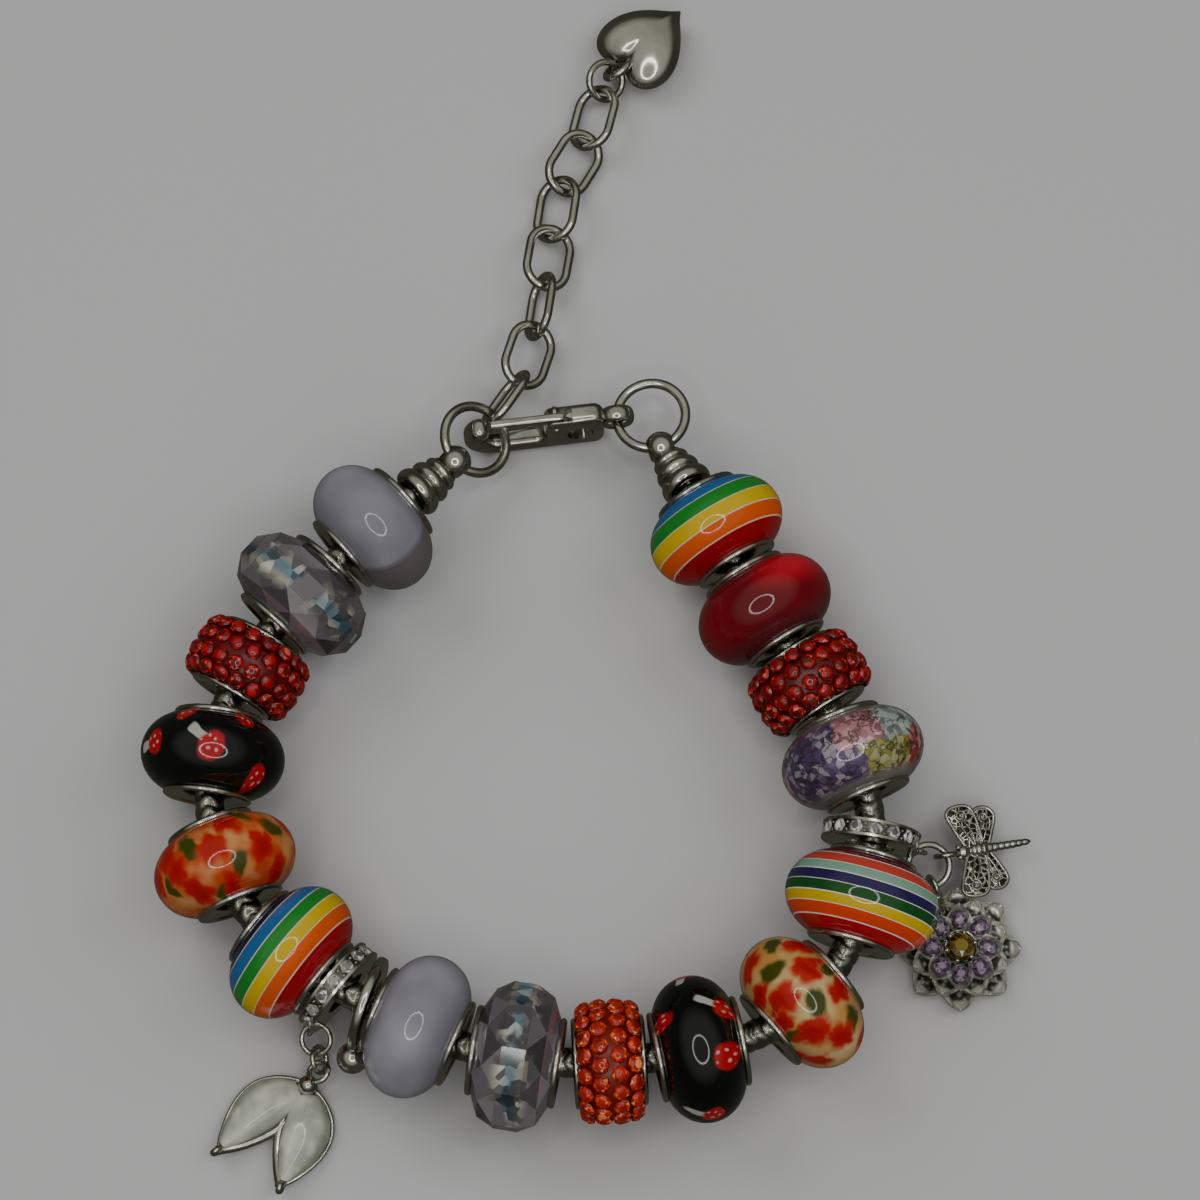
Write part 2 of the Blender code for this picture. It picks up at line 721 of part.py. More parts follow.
def ring_at(name, centre, normal, diameter, wire, finish="silver", count=16):
    """A round closed ring of wire."""
    radius = (diameter - wire) / 2
    points = [Vector((radius * math.cos(a), radius * math.sin(a), 0))
              for a in (2 * math.pi * i / count for i in range(count))]
    data = wire_data(name, points, wire, True)
    return add(name, data, placed(centre, normal, Vector((1, 0, 0.01))), finish)


def make_left_ring(eye):
    """The tilted ring through the left cap's eye; returns its middle and two in-plane directions."""
    tilt = math.radians(30)
    across = Vector((math.cos(tilt), 0, -math.sin(tilt)))
    along = Vector((0, 1, 0))
    radius = (RING_DIAMETER - RING_WIRE) / 2
    angle = math.radians(-130)
    centre = eye - radius * (math.cos(angle) * across + math.sin(angle) * along)
    ring_at("ring_left", centre, across.cross(along), RING_DIAMETER, RING_WIRE)
    tangent = -math.sin(angle) * across + math.cos(angle) * along
    return centre, across, along, tangent


def make_right_ring(eye):
    """The nearly level ring through the right cap's eye and the clasp's bail loop."""
    across = Vector((1, 0, 0.11)).normalized()
    along = Vector((0, 1, -0.05)).normalized()
    radius = (RING_DIAMETER - RING_WIRE) / 2
    angle = math.radians(-75)
    centre = eye - radius * (math.cos(angle) * across + math.sin(angle) * along)
    ring_at("ring_right", centre, across.cross(along), RING_DIAMETER, RING_WIRE)
    tangent = -math.sin(angle) * across + math.cos(angle) * along
    return centre, centre - radius * across, tangent


def make_clasp(loop, caught):
    """The lobster clasp stands on its edge, with its bail loop on the right ring and the left one caught."""
    way = Vector((loop.x - caught.x, loop.y - caught.y, 0)).normalized()
    base = Vector((loop.x, loop.y, 0)) - way * (BAIL_LOOP_DIAMETER * 0.37 + CLASP_LENGTH)
    # The clasp is drawn in a plane with its length across and its height up, then stood on edge.
    upright = Matrix.Translation(base) @ Matrix((way, UP, way.cross(UP))).transposed().to_4x4()
    nose = CLASP_HEIGHT / 2
    inner = nose - HOOK_BAR
    block = CLASP_LENGTH - CLASP_BLOCK
    corner = 0.9 * MM
    outline = arc((CLASP_LENGTH - corner, corner), corner, 0, -90, 3)
    outline += arc((nose, nose), nose, -90, HOOK_END, 9)
    outline += arc((nose, nose), inner, HOOK_END, -90, 8)
    outline += [(block - corner, HOOK_BAR), (block, HOOK_BAR + corner), (block, CLASP_HEIGHT)]
    outline += arc((CLASP_LENGTH - corner, CLASP_HEIGHT - corner), corner, 90, 0, 3)
    hook = plate_mesh("clasp_body", outline, CLASP_THICKNESS, 0.35 * MM, 1)
    body = add("clasp_body", hook, upright, "silver")
    body = bake_in_place(body)
    pivot = Vector((block + 1.2 * MM, CLASP_HEIGHT - 1.2 * MM, 0))
    slot_low = (block - MM, HOOK_BAR + 1.3 * MM, -LEVER_SLOT / 2)
    slot_high = (block + 2.9 * MM, CLASP_HEIGHT + MM, LEVER_SLOT / 2)
    slot = add_cutter("slot", box_mesh("slot", slot_low, slot_high), upright)
    window_low = (block + 2.3 * MM, HOOK_BAR + 0.2 * MM, -CLASP_THICKNESS)
    window_high = (CLASP_LENGTH - 1.2 * MM, CLASP_HEIGHT - 1.6 * MM, CLASP_THICKNESS)
    window = add_cutter("window", box_mesh("window", window_low, window_high), upright)
    body = join(body, [slot, window], "DIFFERENCE")
    pin = add_cutter("pin", rod_mesh("pin", PIVOT_PIN_DIAMETER, CLASP_THICKNESS - 0.6 * MM, 8),
                     upright @ Matrix.Translation(pivot))
    count = 12
    radius = (BAIL_LOOP_DIAMETER + BAIL_LOOP_HOLE) / 4
    thick = (BAIL_LOOP_DIAMETER - BAIL_LOOP_HOLE) / 2
    shoulder = BAIL_LOOP_WIDTH * 0.3
    loop_outline = [(radius + thick / 2, shoulder), (radius + thick / 2, -shoulder),
                    (radius, -BAIL_LOOP_WIDTH / 2), (radius - thick / 2, -shoulder),
                    (radius - thick / 2, shoulder), (radius, BAIL_LOOP_WIDTH / 2)]
    barrel = add_cutter("bail_loop", turned_mesh("bail_loop", loop_outline, count),
                        placed(loop, way.cross(UP)))
    body = join(body, [pin, barrel], "UNION")
    body.data.materials.clear()
    body.data.materials.append(finish_material("silver"))

    reach = pivot.x - nose + 0.8 * MM
    hub = 1.0 * MM
    top = CLASP_HEIGHT - 0.25 * MM - pivot.y
    under = top - LEVER_THICKNESS
    lever_outline = [(-reach, top - 0.2 * MM), (-reach, under), (-hub, under)]
    lever_outline += arc((0, 0), hub, 215, 330, 4)
    lever_outline += [(hub, under + 0.2 * MM), (hub * 0.6, top)]
    at_pivot = upright @ Matrix.Translation(pivot)
    arm = plate_mesh("clasp_lever", lever_outline, LEVER_SLOT - 0.5 * MM)
    lever = add("clasp_lever", arm, at_pivot, "silver")
    hole = add_cutter("hole", rod_mesh("hole", PIVOT_PIN_DIAMETER + 0.3 * MM, 4 * LEVER_SLOT, 8), at_pivot)
    lever = join(lever, [hole], "DIFFERENCE")
    lever.data.materials.clear()
    lever.data.materials.append(finish_material("silver"))


def heading_vector(heading, pitch):
    turn = math.radians(heading)
    rise = math.radians(pitch)
    return Vector((math.sin(turn) * math.cos(rise), math.cos(turn) * math.cos(rise), math.sin(rise)))


def make_extender(anchor):
    """Oval links from the left ring outwards; returns the point that the heart's ring passes."""
    half = LINK_LENGTH / 2 - LINK_WIRE / 2
    step = half - (LINK_WIRE + LINK_GAP) / 2
    points = oval_points(LINK_LENGTH - LINK_WIRE, LINK_WIDTH - LINK_WIRE, 14)
    centre = None
    for name, heading, pitch, roll in LINKS:
        way = heading_vector(heading, pitch)
        if centre is None:
            side = way.cross(UP).normalized()
            reach = half - (LINK_WIRE + RING_WIRE) / 2 - LINK_GAP
            centre = anchor + way * reach + side * LINK_1_SIDESTEP
        else:
            centre = centre + way * step
        lean = Matrix.Rotation(math.radians(roll), 3, way) @ UP
        normal = lean - way * lean.dot(way)
        side = way.cross(normal).normalized()
        place = Matrix((side, way, side.cross(way))).transposed().to_4x4()
        place = Matrix.Translation(centre) @ place
        add(name, wire_data(name, points, LINK_WIRE, True), place, "silver")
        centre = centre + way * step
    return centre - way * step + way * (half - (LINK_WIRE + SMALL_WIRE) / 2 - LINK_GAP)


def heart_mesh(name, sides, rings):
    """A ball pulled into a puffy heart: y rises with the root of |x|, so the top has a cleft."""
    mesh = ball_mesh(name, 2.0, sides, rings)
    for vertex in mesh.vertices:
        x, y, z = vertex.co.z, vertex.co.y, vertex.co.x
        lift = 0.72 * math.sqrt(abs(x)) * (1 - 0.3 * abs(z))
        vertex.co = (x * HEART_WIDTH / 2, (y + lift - 0.3) * HEART_HEIGHT / 2.25, z * HEART_THICKNESS / 2)
    shape = bmesh.new()
    shape.from_mesh(mesh)
    bmesh.ops.recalc_face_normals(shape, faces=shape.faces)
    shape.to_mesh(mesh)
    shape.free()
    smooth(mesh, 50)
    return mesh


def make_heart(contact):
    """The heart's jump ring and the heart, which hangs by an eye in its cleft."""
    radius = (HEART_RING_DIAMETER - SMALL_WIRE) / 2
    way = heading_vector(22, 12)
    centre = contact + way * radius
    normal = Matrix.Rotation(math.radians(34), 3, way) @ (UP - way * UP.dot(way))
    ring_at("heart_ring", centre, normal, HEART_RING_DIAMETER, SMALL_WIRE, count=14)
    out = heading_vector(46, 4)
    flat = out - normal.normalized() * out.dot(normal.normalized())
    eye = centre + flat.normalized() * radius
    hole = SMALL_WIRE + 2 * LINK_GAP + 0.2 * MM
    cleft = HEART_HEIGHT * 0.31
    middle = eye + out * (cleft + hole)
    middle.z = HEART_THICKNESS / 2
    down = -(middle - eye)
    down.z = 0
    down.normalize()
    place = Matrix.Translation(middle) @ Matrix((UP.cross(down) * -1, down, UP)).transposed().to_4x4()
    heart = add("heart", heart_mesh("heart", 14, 10), place, "silver")
    eye_axis = flat.cross(normal).normalized()
    loop = eye_ring("heart_eye", eye, eye_axis, hole + 0.9 * MM, 0.8 * MM)
    joined = join(heart, [loop], "UNION")
    joined.data.materials.clear()
    joined.data.materials.append(finish_material("silver"))


def petal_surface(length, side):
    """A petal's surface: z rises as 1 - v squared across it, its inner half is narrow, its tip curls."""
    def point(u, v):
        half = max(0.08, math.sin(math.pi * min(u, 1.0) ** 0.85) ** 0.8)
        half *= PETAL_OUTER_HALF if v * side > 0 else PETAL_INNER_HALF
        crown = PETAL_RISE * (1 - v * v) * math.sin(math.pi * u) ** 0.6
        return length * u, half * v, crown + TIP_CURL * u**5
    return point


def shell_mesh(name, surface, span_u, span_v, low, high, cells=(7, 4)):
    """A closed shell between two heights over a stretch of a surface."""
    columns, rows = cells[0] + 1, cells[1] + 1
    points = []
    for level in (low, high):
        for i in range(columns):
            for j in range(rows):
                u = span_u[0] + (span_u[1] - span_u[0]) * i / cells[0]
                v = span_v * (2 * j / cells[1] - 1)
                x, y, z = surface(u, v)
                points.append((x, y, z + level))
    upper = columns * rows
    faces = []
    for i in range(cells[0]):
        for j in range(cells[1]):
            a = i * rows + j
            faces.append((a, a + 1, a + rows + 1, a + rows))
            faces.append((upper + a, upper + a + rows, upper + a + rows + 1, upper + a + 1))
    rim = [i * rows for i in range(columns)]
    rim += [(columns - 1) * rows + j for j in range(1, rows)]
    rim += [i * rows + rows - 1 for i in range(columns - 2, -1, -1)]
    rim += list(range(rows - 2, 0, -1))
    for a, b in zip(rim, rim[1:] + rim[:1]):
        faces.append((a, b, upper + b, upper + a))
    mesh = bpy.data.meshes.new(name)
    mesh.from_pydata(points, [], faces)
    shape = bmesh.new()
    shape.from_mesh(mesh)
    bmesh.ops.recalc_face_normals(shape, faces=shape.faces)
    shape.to_mesh(mesh)
    shape.free()
    smooth(mesh, 50)
    return mesh


def upright_of(way):
    """The direction nearest to straight up that is square to another."""
    return (UP - way * UP.dot(way)).normalized()


def heading_place(origin, heading, pitch=0):
    """A frame whose X runs along a heading from +X towards +Y, tipped by a pitch."""
    turn = Matrix.Rotation(math.radians(heading), 4, "Z") @ Matrix.Rotation(math.radians(-pitch), 4, "Y")
    return Matrix.Translation(origin) @ turn


def make_tulip(eye):
    """Two small jump rings and a flower bud charm of two enamelled petals lying on the surface."""
    radius_1 = (TULIP_RING_DIAMETER - TULIP_WIRE) / 2
    centre_1 = eye + TULIP_WAY_1 * radius_1
    normal_1 = Matrix.Rotation(math.radians(14), 3, TULIP_WAY_1) @ upright_of(TULIP_WAY_1)
    ring_at("charm_ring_left_1", centre_1, normal_1, TULIP_RING_DIAMETER, TULIP_WIRE, count=12)
    radius_2 = (TULIP_RING_2_DIAMETER - TULIP_WIRE) / 2
    joint = centre_1 + TULIP_WAY_1 * (radius_1 - TULIP_WIRE - LINK_GAP)
    centre_2 = joint + TULIP_WAY_2 * radius_2
    normal_2 = Matrix.Rotation(math.radians(-62), 3, TULIP_WAY_2) @ upright_of(TULIP_WAY_2)
    ring_at("charm_ring_left_2", centre_2, normal_2, TULIP_RING_2_DIAMETER, TULIP_WIRE, count=12)
    side = TULIP_WAY_2 - normal_2 * TULIP_WAY_2.dot(normal_2)
    side = (Matrix.Rotation(math.radians(-30), 3, normal_2) @ side).normalized()
    contact = centre_2 + side * radius_2
    way = Vector((-0.62, -0.78, 0))
    loop = charm_loop("tulip_eye", contact, side.cross(normal_2), way)
    base = contact + way * (EYE_HOLE / 2 + EYE_WIRE + 0.3 * MM)
    knob = base.copy()
    base.z = PETAL_WALL
    helpers = [loop]
    low_knob = base + way * 0.5 * MM + UP * 0.45 * MM
    for index, middle in enumerate((knob, low_knob)):
        ball = ball_mesh("tulip_knob", 1.9 * MM, 8, 6)
        helpers.append(add_cutter(f"tulip_knob_{index}", ball, Matrix.Translation(middle)))
    setting = None
    for name, heading, share, side in (("petal_left", 216, 1.0, -1), ("petal_right", 256, 0.94, 1)):
        place = heading_place(base, heading)
        surface = petal_surface(PETAL_LENGTH * share, side)
        tray = shell_mesh(name + "_tray", surface, (0, 1), 1, -PETAL_WALL, 0)
        lift = SEAM + 0.05 * MM
        enamel = shell_mesh(name, surface, (0.16, 0.93), 0.84, lift, lift + ENAMEL_THICKNESS)
        add(name, enamel, place, "petal_enamel")
        if setting is None:
            setting = add("tulip_setting", tray, place, "silver")
        else:
            helpers.append(add_cutter(name + "_tray", tray, place))
    joined = join(setting, helpers, "UNION")
    joined.data.materials.clear()
    joined.data.materials.append(finish_material("silver"))


def make_lotus(contact, tangent):
    """A layered open lotus with a flat back, set with lavender stones round an amber one."""
    middle = contact + Vector((2.5, -5.9, 0)).normalized() * (LOTUS_DIAMETER / 2 + 0.3 * MM)
    middle.z = 0
    place = Matrix.Translation(middle)
    base = LOTUS_BASE_THICKNESS
    body = add("lotus", rod_mesh("lotus", LOTUS_DIAMETER * 0.62, base, 16),
               place @ Matrix.Translation((0, 0, base / 2)), "oxidised_silver")
    helpers = []
    for row, (inner, outer, width, tip, turn) in enumerate(LOTUS_ROWS):
        length = (outer - inner) * LOTUS_DIAMETER / 2
        half = width * LOTUS_DIAMETER / 4
        widest = length * 0.62
        outline = [(0, -half * 0.5), (widest, -half), (length, 0), (widest, half), (0, half * 0.5)]
        tilt = math.degrees(math.asin(min(0.9, tip * base / length)))
        for i in range(LOTUS_PETALS):
            heading = 360 * (i + turn) / LOTUS_PETALS
            radial = heading_place(Vector((0, 0, 0)), heading)
            start = radial @ Matrix.Translation((inner * LOTUS_DIAMETER / 2, 0, base * (0.6 + 0.55 * row)))
            petal = plate_mesh("lotus_petal", outline, 0.5 * MM)
            seat = place @ start @ heading_place(Vector(), 0, tilt)
            helpers.append(add_cutter(f"lotus_petal_{row}_{i}", petal, seat))
    cup = LOTUS_STONE_DIAMETER / 2 + 0.35 * MM
    hub_top = base * 3.1
    helpers.append(add_cutter("lotus_hub", rod_mesh("lotus_hub", 2 * cup, hub_top - base / 2, 12),
                              place @ Matrix.Translation((0, 0, (hub_top + base / 2) / 2))))
    inner_end = middle + Vector((0, 0, base * 0.7))
    away = Vector((middle.x - contact.x, middle.y - contact.y, 0)).normalized()
    helpers.append(charm_loop("lotus_eye", contact, tangent, away))
    start = contact + away * (EYE_HOLE + EYE_WIRE) / 2
    neck_end = inner_end - away * LOTUS_DIAMETER * 0.27
    reach = neck_end - start
    helpers.append(add_cutter("lotus_neck", rod_mesh("lotus_neck", 1.1 * MM, reach.length, 8),
                              placed((start + neck_end) / 2, reach)))
    body = join(body, helpers, "UNION")
    cutter = add_cutter("lotus_seat", rod_mesh("lotus_seat", LOTUS_STONE_DIAMETER + 2 * SEAM, 2 * base, 12),
                        place @ Matrix.Translation((0, 0, hub_top + base / 2)))
    body = join(body, [cutter], "DIFFERENCE")
    body.data.materials.clear()
    body.data.materials.append(finish_material("oxidised_silver"))
    stone = cut_stone_mesh("lotus_stone", LOTUS_STONE_DIAMETER, base)
    add("lotus_stone", stone, place @ Matrix.Translation((0, 0, hub_top - base / 2 + SEAM)), "amber_stone")


def cut_stone_mesh(name, diameter, depth):
    """A round cut stone with a flat table, eight crown facets over a girdle, and a flat foot."""
    shape = bmesh.new()
    rows = ((0.7, 0.0, 0), (1.0, 0.55, 0), (1.0, 0.7, 0), (0.62, 1.25, 0.5))
    for radius, height, turn in rows:
        for i in range(8):
            angle = 2 * math.pi * (i + turn) / 8
            reach = radius * diameter / 2
            shape.verts.new((reach * math.cos(angle), reach * math.sin(angle), height * depth))
    bmesh.ops.convex_hull(shape, input=shape.verts)
    mesh = bpy.data.meshes.new(name)
    shape.to_mesh(mesh)
    shape.free()
    return mesh


def make_dragonfly(contact, tangent):
    """A flat cast dragonfly with a round body, four wings and a loop at its head."""
    place = heading_place(contact, 11, -9)
    size = DRAGONFLY_LENGTH
    outline = [(0, 0.1), (0.05, 0.13), (0.085, 0.2), (0.06, 0.27), (0.09, 0.32), (0.1, 0.42), (0.06, 0.5),
               (0.045, 0.6), (0.05, 0.75), (0.035, 0.95), (0, 1.0)]
    profile = [(r * size, z * size) for r, z in reversed(outline)]
    body = add("dragonfly", turned_mesh("dragonfly", profile, 8, closed=False),
               place @ Matrix.Rotation(math.pi / 2, 4, "Y"), "oxidised_silver")
    helpers = [charm_loop("dragonfly_eye", contact, tangent, place.to_3x3() @ Vector((1, 0, 0)))]
    span = WING_SPAN / 2
    for index, outline in enumerate(WINGS):
        for side in (1, -1):
            points = [(x * size, side * y * span) for x, y in outline]
            wing = plate_mesh("wing", points[::side], 0.45 * MM)
            seat = place @ Matrix.Translation((0, 0, (0.12 - 0.2 * index) * MM))
            lean = Matrix.Rotation(side * 0.06, 4, "X")
            helpers.append(add_cutter(f"wing_{index}_{side}", wing, seat @ lean))
    joined = join(body, helpers, "UNION")
    joined.data.materials.clear()
    joined.data.materials.append(finish_material("oxidised_silver"))


def make_right_charms(strand):
    """The right spacer and a jump ring on its eye, with the dragonfly and the lotus on it."""
    radius = (CHARM_RING_DIAMETER - CHARM_WIRE) / 2
    drop = CHARM_RING_WAY
    across = UP.cross(drop).normalized()
    eye = make_spacer(strand, "spacer_right", RIGHT_EYE_ANGLE, across)
    centre = eye + drop * radius
    ring_at("charm_ring_right", centre, drop.cross(across), CHARM_RING_DIAMETER, CHARM_WIRE, count=14)

    def on_ring(degrees):
        angle = math.radians(degrees)
        point = centre + radius * (math.cos(angle) * drop + math.sin(angle) * across)
        return point, math.cos(angle) * across - math.sin(angle) * drop

    make_dragonfly(*on_ring(78))
    make_lotus(*on_ring(-32))


def stand_on_origin():
    """Moves the whole bracelet so that its box stands centred on the origin."""
    bpy.context.view_layer.update()
    graph = bpy.context.evaluated_depsgraph_get()
    corners = []
    for obj in PARTS.objects:
        seen = obj.evaluated_get(graph)
        mesh = seen.to_mesh()
        corners += [obj.matrix_world @ vertex.co for vertex in mesh.vertices]
        seen.to_mesh_clear()
    low = [min(c[i] for c in corners) for i in range(3)]
    high = [max(c[i] for c in corners) for i in range(3)]
    shift = Vector((-(low[0] + high[0]) / 2, -(low[1] + high[1]) / 2, -low[2]))
    for obj in PARTS.objects:
        obj.matrix_world = Matrix.Translation(shift) @ obj.matrix_world


clear_scene()
PARTS = new_collection("charm_bracelet")
CUTTERS = new_collection("cutters", hidden=True)


def main():
    strand = Strand()
    make_beads(strand)
    make_snake_chain(strand)
    make_ball_bail(strand)
    left_eye = strand.at(0)
    right_eye = strand.at(strand.total)
    ring_centre, across, along, left_tangent = make_left_ring(left_eye)
    _, loop, right_tangent = make_right_ring(right_eye)
    make_end_cap("end_cap_left", strand.at(strand.cap_reach), left_eye, left_tangent)
    make_end_cap("end_cap_right", strand.at(strand.total - strand.cap_reach), right_eye, right_tangent)
    radius = (RING_DIAMETER - RING_WIRE) / 2

    def on_left_ring(degrees):
        angle = math.radians(degrees)
        return ring_centre + radius * (math.cos(angle) * across + math.sin(angle) * along)

    make_clasp(loop, on_left_ring(CAUGHT_AT))
    contact = make_extender(on_left_ring(EXTENDER_AT))
    make_heart(contact)
    make_right_charms(strand)
    make_tulip(make_spacer(strand, "spacer_left", LEFT_EYE_ANGLE, UP.cross(TULIP_WAY_1)))
    stand_on_origin()


main()
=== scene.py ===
# %% [markdown]
# # A charm bracelet, piece by piece
#
# The bracelet lies closed on a table: large-hole beads on a snake chain, a lobster clasp, an
# extender chain and a few cast charms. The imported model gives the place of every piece. This file
# makes each of them again with finer surfaces and with the finish that the real piece has.
# Lengths are in metres, so that small sizes are written as a number times MM.

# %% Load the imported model
import json
import math

import bmesh
import bpy
import numpy as np
from mathutils import Matrix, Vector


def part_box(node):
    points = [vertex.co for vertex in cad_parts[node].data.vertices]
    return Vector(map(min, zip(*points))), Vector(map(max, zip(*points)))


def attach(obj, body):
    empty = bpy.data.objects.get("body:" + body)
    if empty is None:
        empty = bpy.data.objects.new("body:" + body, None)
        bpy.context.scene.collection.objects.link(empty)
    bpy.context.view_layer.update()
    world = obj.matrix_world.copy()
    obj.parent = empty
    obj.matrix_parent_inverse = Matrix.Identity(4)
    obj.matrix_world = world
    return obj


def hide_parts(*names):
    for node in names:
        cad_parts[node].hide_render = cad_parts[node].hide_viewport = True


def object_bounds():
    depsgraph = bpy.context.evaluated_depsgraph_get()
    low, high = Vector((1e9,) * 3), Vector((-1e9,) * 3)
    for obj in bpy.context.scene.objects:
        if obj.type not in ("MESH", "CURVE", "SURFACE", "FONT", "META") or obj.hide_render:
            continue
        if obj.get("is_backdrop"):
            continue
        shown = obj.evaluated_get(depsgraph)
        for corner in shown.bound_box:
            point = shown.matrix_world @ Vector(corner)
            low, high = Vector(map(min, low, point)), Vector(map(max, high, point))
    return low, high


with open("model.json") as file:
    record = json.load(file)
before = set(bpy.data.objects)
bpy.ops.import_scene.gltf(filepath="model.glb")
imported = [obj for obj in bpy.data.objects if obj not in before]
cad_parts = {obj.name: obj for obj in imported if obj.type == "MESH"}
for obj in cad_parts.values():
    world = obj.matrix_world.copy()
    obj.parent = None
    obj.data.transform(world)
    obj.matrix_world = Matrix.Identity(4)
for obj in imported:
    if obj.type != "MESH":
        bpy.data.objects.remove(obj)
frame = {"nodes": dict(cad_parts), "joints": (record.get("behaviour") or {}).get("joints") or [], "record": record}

MM = 0.001
UP = np.array([0.0, 0.0, 1.0])
EAST = np.array([1.0, 0.0, 0.0])
NORTH = np.array([0.0, 1.0, 0.0])
SLANT = np.array([0.3, 0.5, 0.8])
LEVEL = np.array([1.0, 1.0, 0.0])
CAD_BOX = [[float(number) for number in corner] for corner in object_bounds()]
print("nodes:", len(frame["nodes"]), "size in mm:", np.round((np.array(CAD_BOX[1]) - CAD_BOX[0]) / MM, 1))

# %% [markdown]
# ## Directions and places
#
# A jeweller turns a piece in the hand; here a piece is drawn round the origin and then turned and
# moved. Three square directions, kept as the rows of an array, say how it is turned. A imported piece
# could be placed by hand, but its own corners say it better: their mean is the middle, and the
# spread of the corners gives the long, the middle and the short direction.

# %% Directions and measured places
def unit(vector):
    """Each vector divided by its own length."""
    vector = np.asarray(vector, float)
    return vector / np.linalg.norm(vector, axis=-1, keepdims=True)


def axes(along, towards=UP):
    """Three square directions as rows: the third runs along, the first leans towards."""
    z = unit(along)
    x = unit(towards - z * (towards @ z))
    return np.array([x, np.cross(z, x), z])


def corners(node):
    """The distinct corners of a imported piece."""
    mesh = frame["nodes"][node].data
    flat = np.empty(len(mesh.vertices) * 3)
    mesh.vertices.foreach_get("co", flat)
    return np.unique(np.round(flat.reshape(-1, 3), 7), axis=0)


def spread(points):
    """The mean of some points, and their long, middle and short directions as rows."""
    middle = points.mean(axis=0)
    _, turn = np.linalg.eigh(np.cov((points - middle).T))
    return middle, turn.T[::-1]


def box_middle(node):
    """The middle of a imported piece's box."""
    low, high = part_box(node)
    return (np.array(low) + np.array(high)) / 2


def heading(degrees, rise=0):
    """A direction: degrees turned from +X towards +Y, then lifted by rise degrees."""
    turn, lift = math.radians(degrees), math.radians(rise)
    return np.array([math.cos(turn) * math.cos(lift), math.sin(turn) * math.cos(lift), math.sin(lift)])


def spokes(angle):
    """Directions square to Z at some angles: (cos a, sin a, 0)."""
    return np.stack([np.cos(angle), np.sin(angle), 0 * angle], -1)


print("heart's middle in mm:", np.round(box_middle("heart") / MM, 1))

# %% [markdown]
# ## Surfaces from two numbers
#
# Every piece here is a grid: one number runs along the piece and the other round or across it, and
# a formula turns the two into a point. Numpy works out all the points at once. A Shape keeps the
# points with their faces, and each face's corners also keep their place on the surface, the UV,
# because the patterns of the beads are drawn in it. Copies of a small shape, such as a stone, are
# made at once too.

# %% The Shape class
class Shape:
    """Points and blocks of faces; a block holds faces, corner UVs, a smooth flag and a finish."""

    def __init__(self, points, blocks):
        self.points = np.asarray(points, float).reshape(-1, 3)
        self.blocks = blocks

    def at(self, origin, turn=np.eye(3)):
        """The shape turned, so that its x, y and z run along the rows of turn, and moved."""
        return Shape(self.points @ np.asarray(turn) + origin, self.blocks)

    def copies(self, origins, turns, tints=None):
        """One copy for each origin and turn; a tint for each becomes its u."""
        count = len(origins)
        points = np.einsum("pi,kij->kpj", self.points, turns) + np.asarray(origins)[:, None]
        shift = np.arange(count)[:, None, None] * len(self.points)
        blocks = []
        for faces, uv, smooth, finish in self.blocks:
            many = (faces[None] + shift).reshape(-1, faces.shape[1])
            places = np.tile(uv, (count, 1, 1))
            if tints is not None:
                places[..., 0] = np.repeat(tints, len(faces))[:, None]
            blocks.append((many, places, smooth, finish))
        return Shape(points, blocks)

    def times(self, factor):
        """The shape made larger by a factor, or by one factor for each axis."""
        return Shape(self.points * factor, self.blocks)

    def finished(self, finish):
        """The same shape with another number for its finish."""
        return Shape(self.points, [(faces, uv, smooth, finish) for faces, uv, smooth, _ in self.blocks])


def together(*shapes):
    """Several shapes as one."""
    blocks, start = [], 0
    for shape in shapes:
        blocks += [(faces + start, uv, smooth, finish) for faces, uv, smooth, finish in shape.blocks]
        start += len(shape.points)
    return Shape(np.concatenate([shape.points for shape in shapes]), blocks)


# %% Grids, turned shapes, tubes and shells
def grid(points, loop_rows=False, loop_columns=True, uv=None, smooth=True):
    """Quads between neighbours of a rows x columns grid; UV is each one's share along and across."""
    rows, columns = points.shape[:2]
    row_starts, column_starts = np.arange(rows - (not loop_rows)), np.arange(columns - (not loop_columns))
    i, j = np.meshgrid(row_starts, column_starts, indexing="ij")
    i = i.reshape(-1, 1) + [0, 1, 1, 0]
    j = j.reshape(-1, 1) + [0, 0, 1, 1]
    faces = (i % rows) * columns + j % columns
    if uv is None:
        across = j / (columns if loop_columns else columns - 1)
        places = np.stack([across, i / (rows if loop_rows else rows - 1)], -1)
    else:
        places = uv[i % rows, j % columns]
    return Shape(points, [(faces, places, smooth, 0)])


def lathe(outline, sides=96, closed=True):
    """An outline of (radius, height) turned about Z: x = r cos a, y = r sin a; v is the height's share."""
    outline = np.asarray(outline, float)
    angle = 2 * np.pi * np.arange(sides) / sides + np.pi
    radius, height = outline[:, :1], outline[:, 1:]
    points = np.stack([radius * np.cos(angle), radius * np.sin(angle), height + 0 * angle], -1)
    made = grid(points, loop_rows=closed)
    faces, places, smooth, finish = made.blocks[0]
    low, high = outline[:, 1].min(), outline[:, 1].max()
    places[..., 1] = (made.points[faces][..., 2] - low) / (high - low)
    return made


